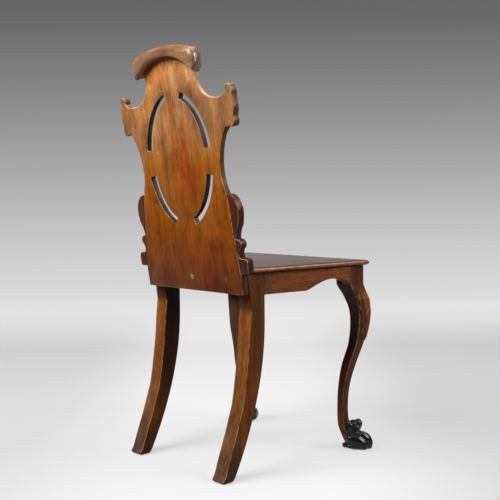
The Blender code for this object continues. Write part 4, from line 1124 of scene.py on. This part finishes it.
def leaf_height(height, across):
    """How far the knee's leaf stands out of the leg, at a height and a distance from the outer corner."""
    down = (carving_top - height) / carving_length
    if not 0.0 < down < 1.0:
        return 0.0
    width, relief, fold = (between_rows(table, down)[0] for table in (leaf_widths, leaf_reliefs, leaf_folds))
    inside = 1 - smoothstep(width - 0.0040 + 0.0028 * smoothstep(0.3, 0.5, down), width, across)
    share = min(1.0, across / width)
    body = leaf_relief * relief * (0.65 + 0.35 * (1 - share * share))
    under = smoothstep(0.32, 0.38, down) * (1 - smoothstep(0.66, 0.74, down))
    slit = exp(-((across - fold) / slit_half) ** 2) * under * slit_depth
    lapped = smoothstep(fold, fold + 0.0010, across) * under * lap_height
    rib = rib_height * exp(-(across / rib_half) ** 2) * smoothstep(0.3, 0.4, down)
    lift = smoothstep(0.0, 0.10, down) * (1 - smoothstep(0.94, 1.0, down))
    return inside * lift * max(0.0, body - slit + lapped + rib)


def rounded_square(half, radius, share):
    """Point and outward direction on a rounded square. share is 0 in the middle of the outer corner
    and runs along both sides to 1 and -1 in the middle of the inner one."""
    side, corner = 2 * (half - radius), pi * radius / 2
    left_to_walk = abs(share) * 2 * (side + corner)
    spot, turn = Vector((half - radius, radius - half)), -pi / 4
    for bend, run in ((corner / 2, side), (corner, side), (corner / 2, 0.0)):
        step = min(left_to_walk, bend)
        turn += step / radius
        left_to_walk -= step
        step = min(left_to_walk, run)
        spot += Vector((-sin(turn), cos(turn))) * step
        left_to_walk -= step
    way = (cos(turn), sin(turn))
    point = (spot.x + radius * way[0], spot.y + radius * way[1])
    if share < 0:
        point, way = (-point[1], -point[0]), (-way[1], -way[0])
    return point, way


# %% Front legs
block_arris, knee_arris_more, ring_step, rubbed_glint_half = 0.0014, 0.0016, 0.0014, 0.013
around = [i / 96 for i in range(49)] + [0.5 + (i + 1) / 44 for i in range(21)]
around = [-share for share in reversed(around[1:])] + around + [1.0]


def leg_ring(height, inset=0.0):
    """One ring of the left front leg, leaf included."""
    move, side = between_rows(leg_sections, height)
    half = side / 2 - inset
    radius = block_arris + knee_arris_more * smoothstep(block_foot, block_foot - 0.03, height)
    ring = []
    for share in around:
        point, way = rounded_square(half, radius, share)
        push = leaf_height(height, abs(share) * (4 * half - (4 - pi) * radius))
        ring.append((block_centre[0] + move / sqrt(2) + point[0] + way[0] * push,
                     block_centre[1] - move / sqrt(2) + point[1] + way[1] * push, height))
    return ring


block_heights = [rail_top - 0.0010, rail_top - 0.0016, rail_top - 0.02, block_foot + 0.004, block_foot + 0.0012]
knee_steps = int((block_foot - leg_foot) / ring_step)
leg_heights = [block_foot + (leg_foot - block_foot) * i / knee_steps for i in range(knee_steps + 1)]
leg_rings = [leg_ring(rail_top, 0.0012)] + [leg_ring(height) for height in block_heights + leg_heights]
leg = skin(leg_rings)
leg_points = [(ring[0][2], share) for ring in leg_rings for share in around]
knee_side = 0.7 * block_side
proud = leg.attributes.new("raised", 'FLOAT', 'POINT')
proud.data.foreach_set("value", [min(1.0, leaf_height(height, abs(share) * 4 * knee_side) / proud_height)
                                 for height, share in leg_points])
mark_wear(leg)
# one corner of each front leg, below the block, is marked fully worn: a rubbed line that is partly a painted highlight
for point, (height, share) in zip(leg.attributes["arris"].data, leg_points):
    if abs(share - 0.5) < rubbed_glint_half and height < block_foot:
        point.value = 1.0
add_pair("cabriole_leg_", leg, oak_front_legs, "oak_legs", "front_leg_", smooth=42)
print("cabriole leg", len(leg.polygons), "faces")

# %% [markdown]
# The paws are carved and stained black. A paw is a heap of soft swellings: pad, instep, four
# toes, claws, and a tuft above. Ellipsoids are heaped up and joined with a voxel remesh, which
# melts them into one skin; metaballs would do it too, but their joints are harder to steer.

# %% Paws
paw_voxel, paw_easing, easing_steps = 0.0009, 0.5, 12
# each swelling, in millimetres: its middle ahead of, beside and above the foot of the leg, its
# half sizes, and in degrees how far it splays out and tips down
swellings = [
    ((17, 0, 8), (34, 22, 9), 0, 0), ((18, 0, 18), (31, 21, 23), 0, 0), ((-4, 0, 42), (12, 15, 27), 0, -6),
    ((15, 0, 54), (12, 12, 12), 0, 0), ((-12, 0, 8), (7, 9, 6), 0, 0), ((7, 0, 62), (8, 9, 7), 0, 0),
    ((9, 0, 41), (12, 13, 13), 0, 0), ((20, 0, 30), (16, 16, 13), 0, 20),
]
for hand in (-1, 1):
    swellings += [((19, 3.6 * hand, 60), (9.5, 9, 10.5), 0, 10), ((8, 10 * hand, 58), (6, 5.5, 8), 0, 0),
                  ((15, 12.5 * hand, 52), (6.5, 5, 6), 0, 0), ((1, 12 * hand, 48), (6, 5, 16), 0, -8),
                  ((15, 14 * hand, 18), (27, 10.5, 15), 9 * hand, 22),
                  ((31, 17 * hand, 7), (7, 5, 6.5), 12 * hand, 30),
                  ((30, 7.4 * hand, 20), (24, 10.5, 18.5), 3 * hand, 30),
                  ((44, 7.6 * hand, 7.5), (7, 4.5, 7), 5 * hand, 50)]
work = bmesh.new()
for spot, size, splay, tip in swellings:
    ahead_by, beside_by, height = (c / 1000 for c in spot)
    middle = Vector((block_centre[0] + (ahead_by + beside_by) / sqrt(2),
                     block_centre[1] - (ahead_by - beside_by) / sqrt(2), height))
    turn = Matrix.Rotation(-pi / 4 + radians(splay), 4, 'Z') @ Matrix.Rotation(radians(tip), 4, 'Y')
    shape = Matrix.Diagonal((*(c / 1000 for c in size), 1.0))
    made = bmesh.ops.create_uvsphere(work, u_segments=32, v_segments=20, radius=1.0)
    bmesh.ops.transform(work, verts=made["verts"], matrix=Matrix.Translation(middle) @ turn @ shape)
holder = bpy.data.objects.new("paw_heap", written(work, "paw_heap"))
melt = holder.modifiers.new("melt", 'REMESH')
melt.mode, melt.voxel_size = 'VOXEL', paw_voxel
ease = holder.modifiers.new("ease", 'SMOOTH')
ease.factor, ease.iterations = paw_easing, easing_steps
paw = mesh_of(holder)
for vertex in paw.vertices:
    vertex.co.z = max(vertex.co.z, 0.0)
add_pair("carved_paw_", paw, ebonised, "ebonised", "front_paw_", smooth=180, sharp=(0.05, 0.30))
print("paw", len(paw.polygons), "faces")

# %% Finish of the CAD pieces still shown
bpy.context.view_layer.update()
for name, node in nodes.items():
    if not node.hide_render:
        node.data.materials.clear()
        finish = plug_oak if name in ("back_plug_left", "back_plug_right") else raw_wood
        node.data.materials.append(steel if "screw" in name else finish)
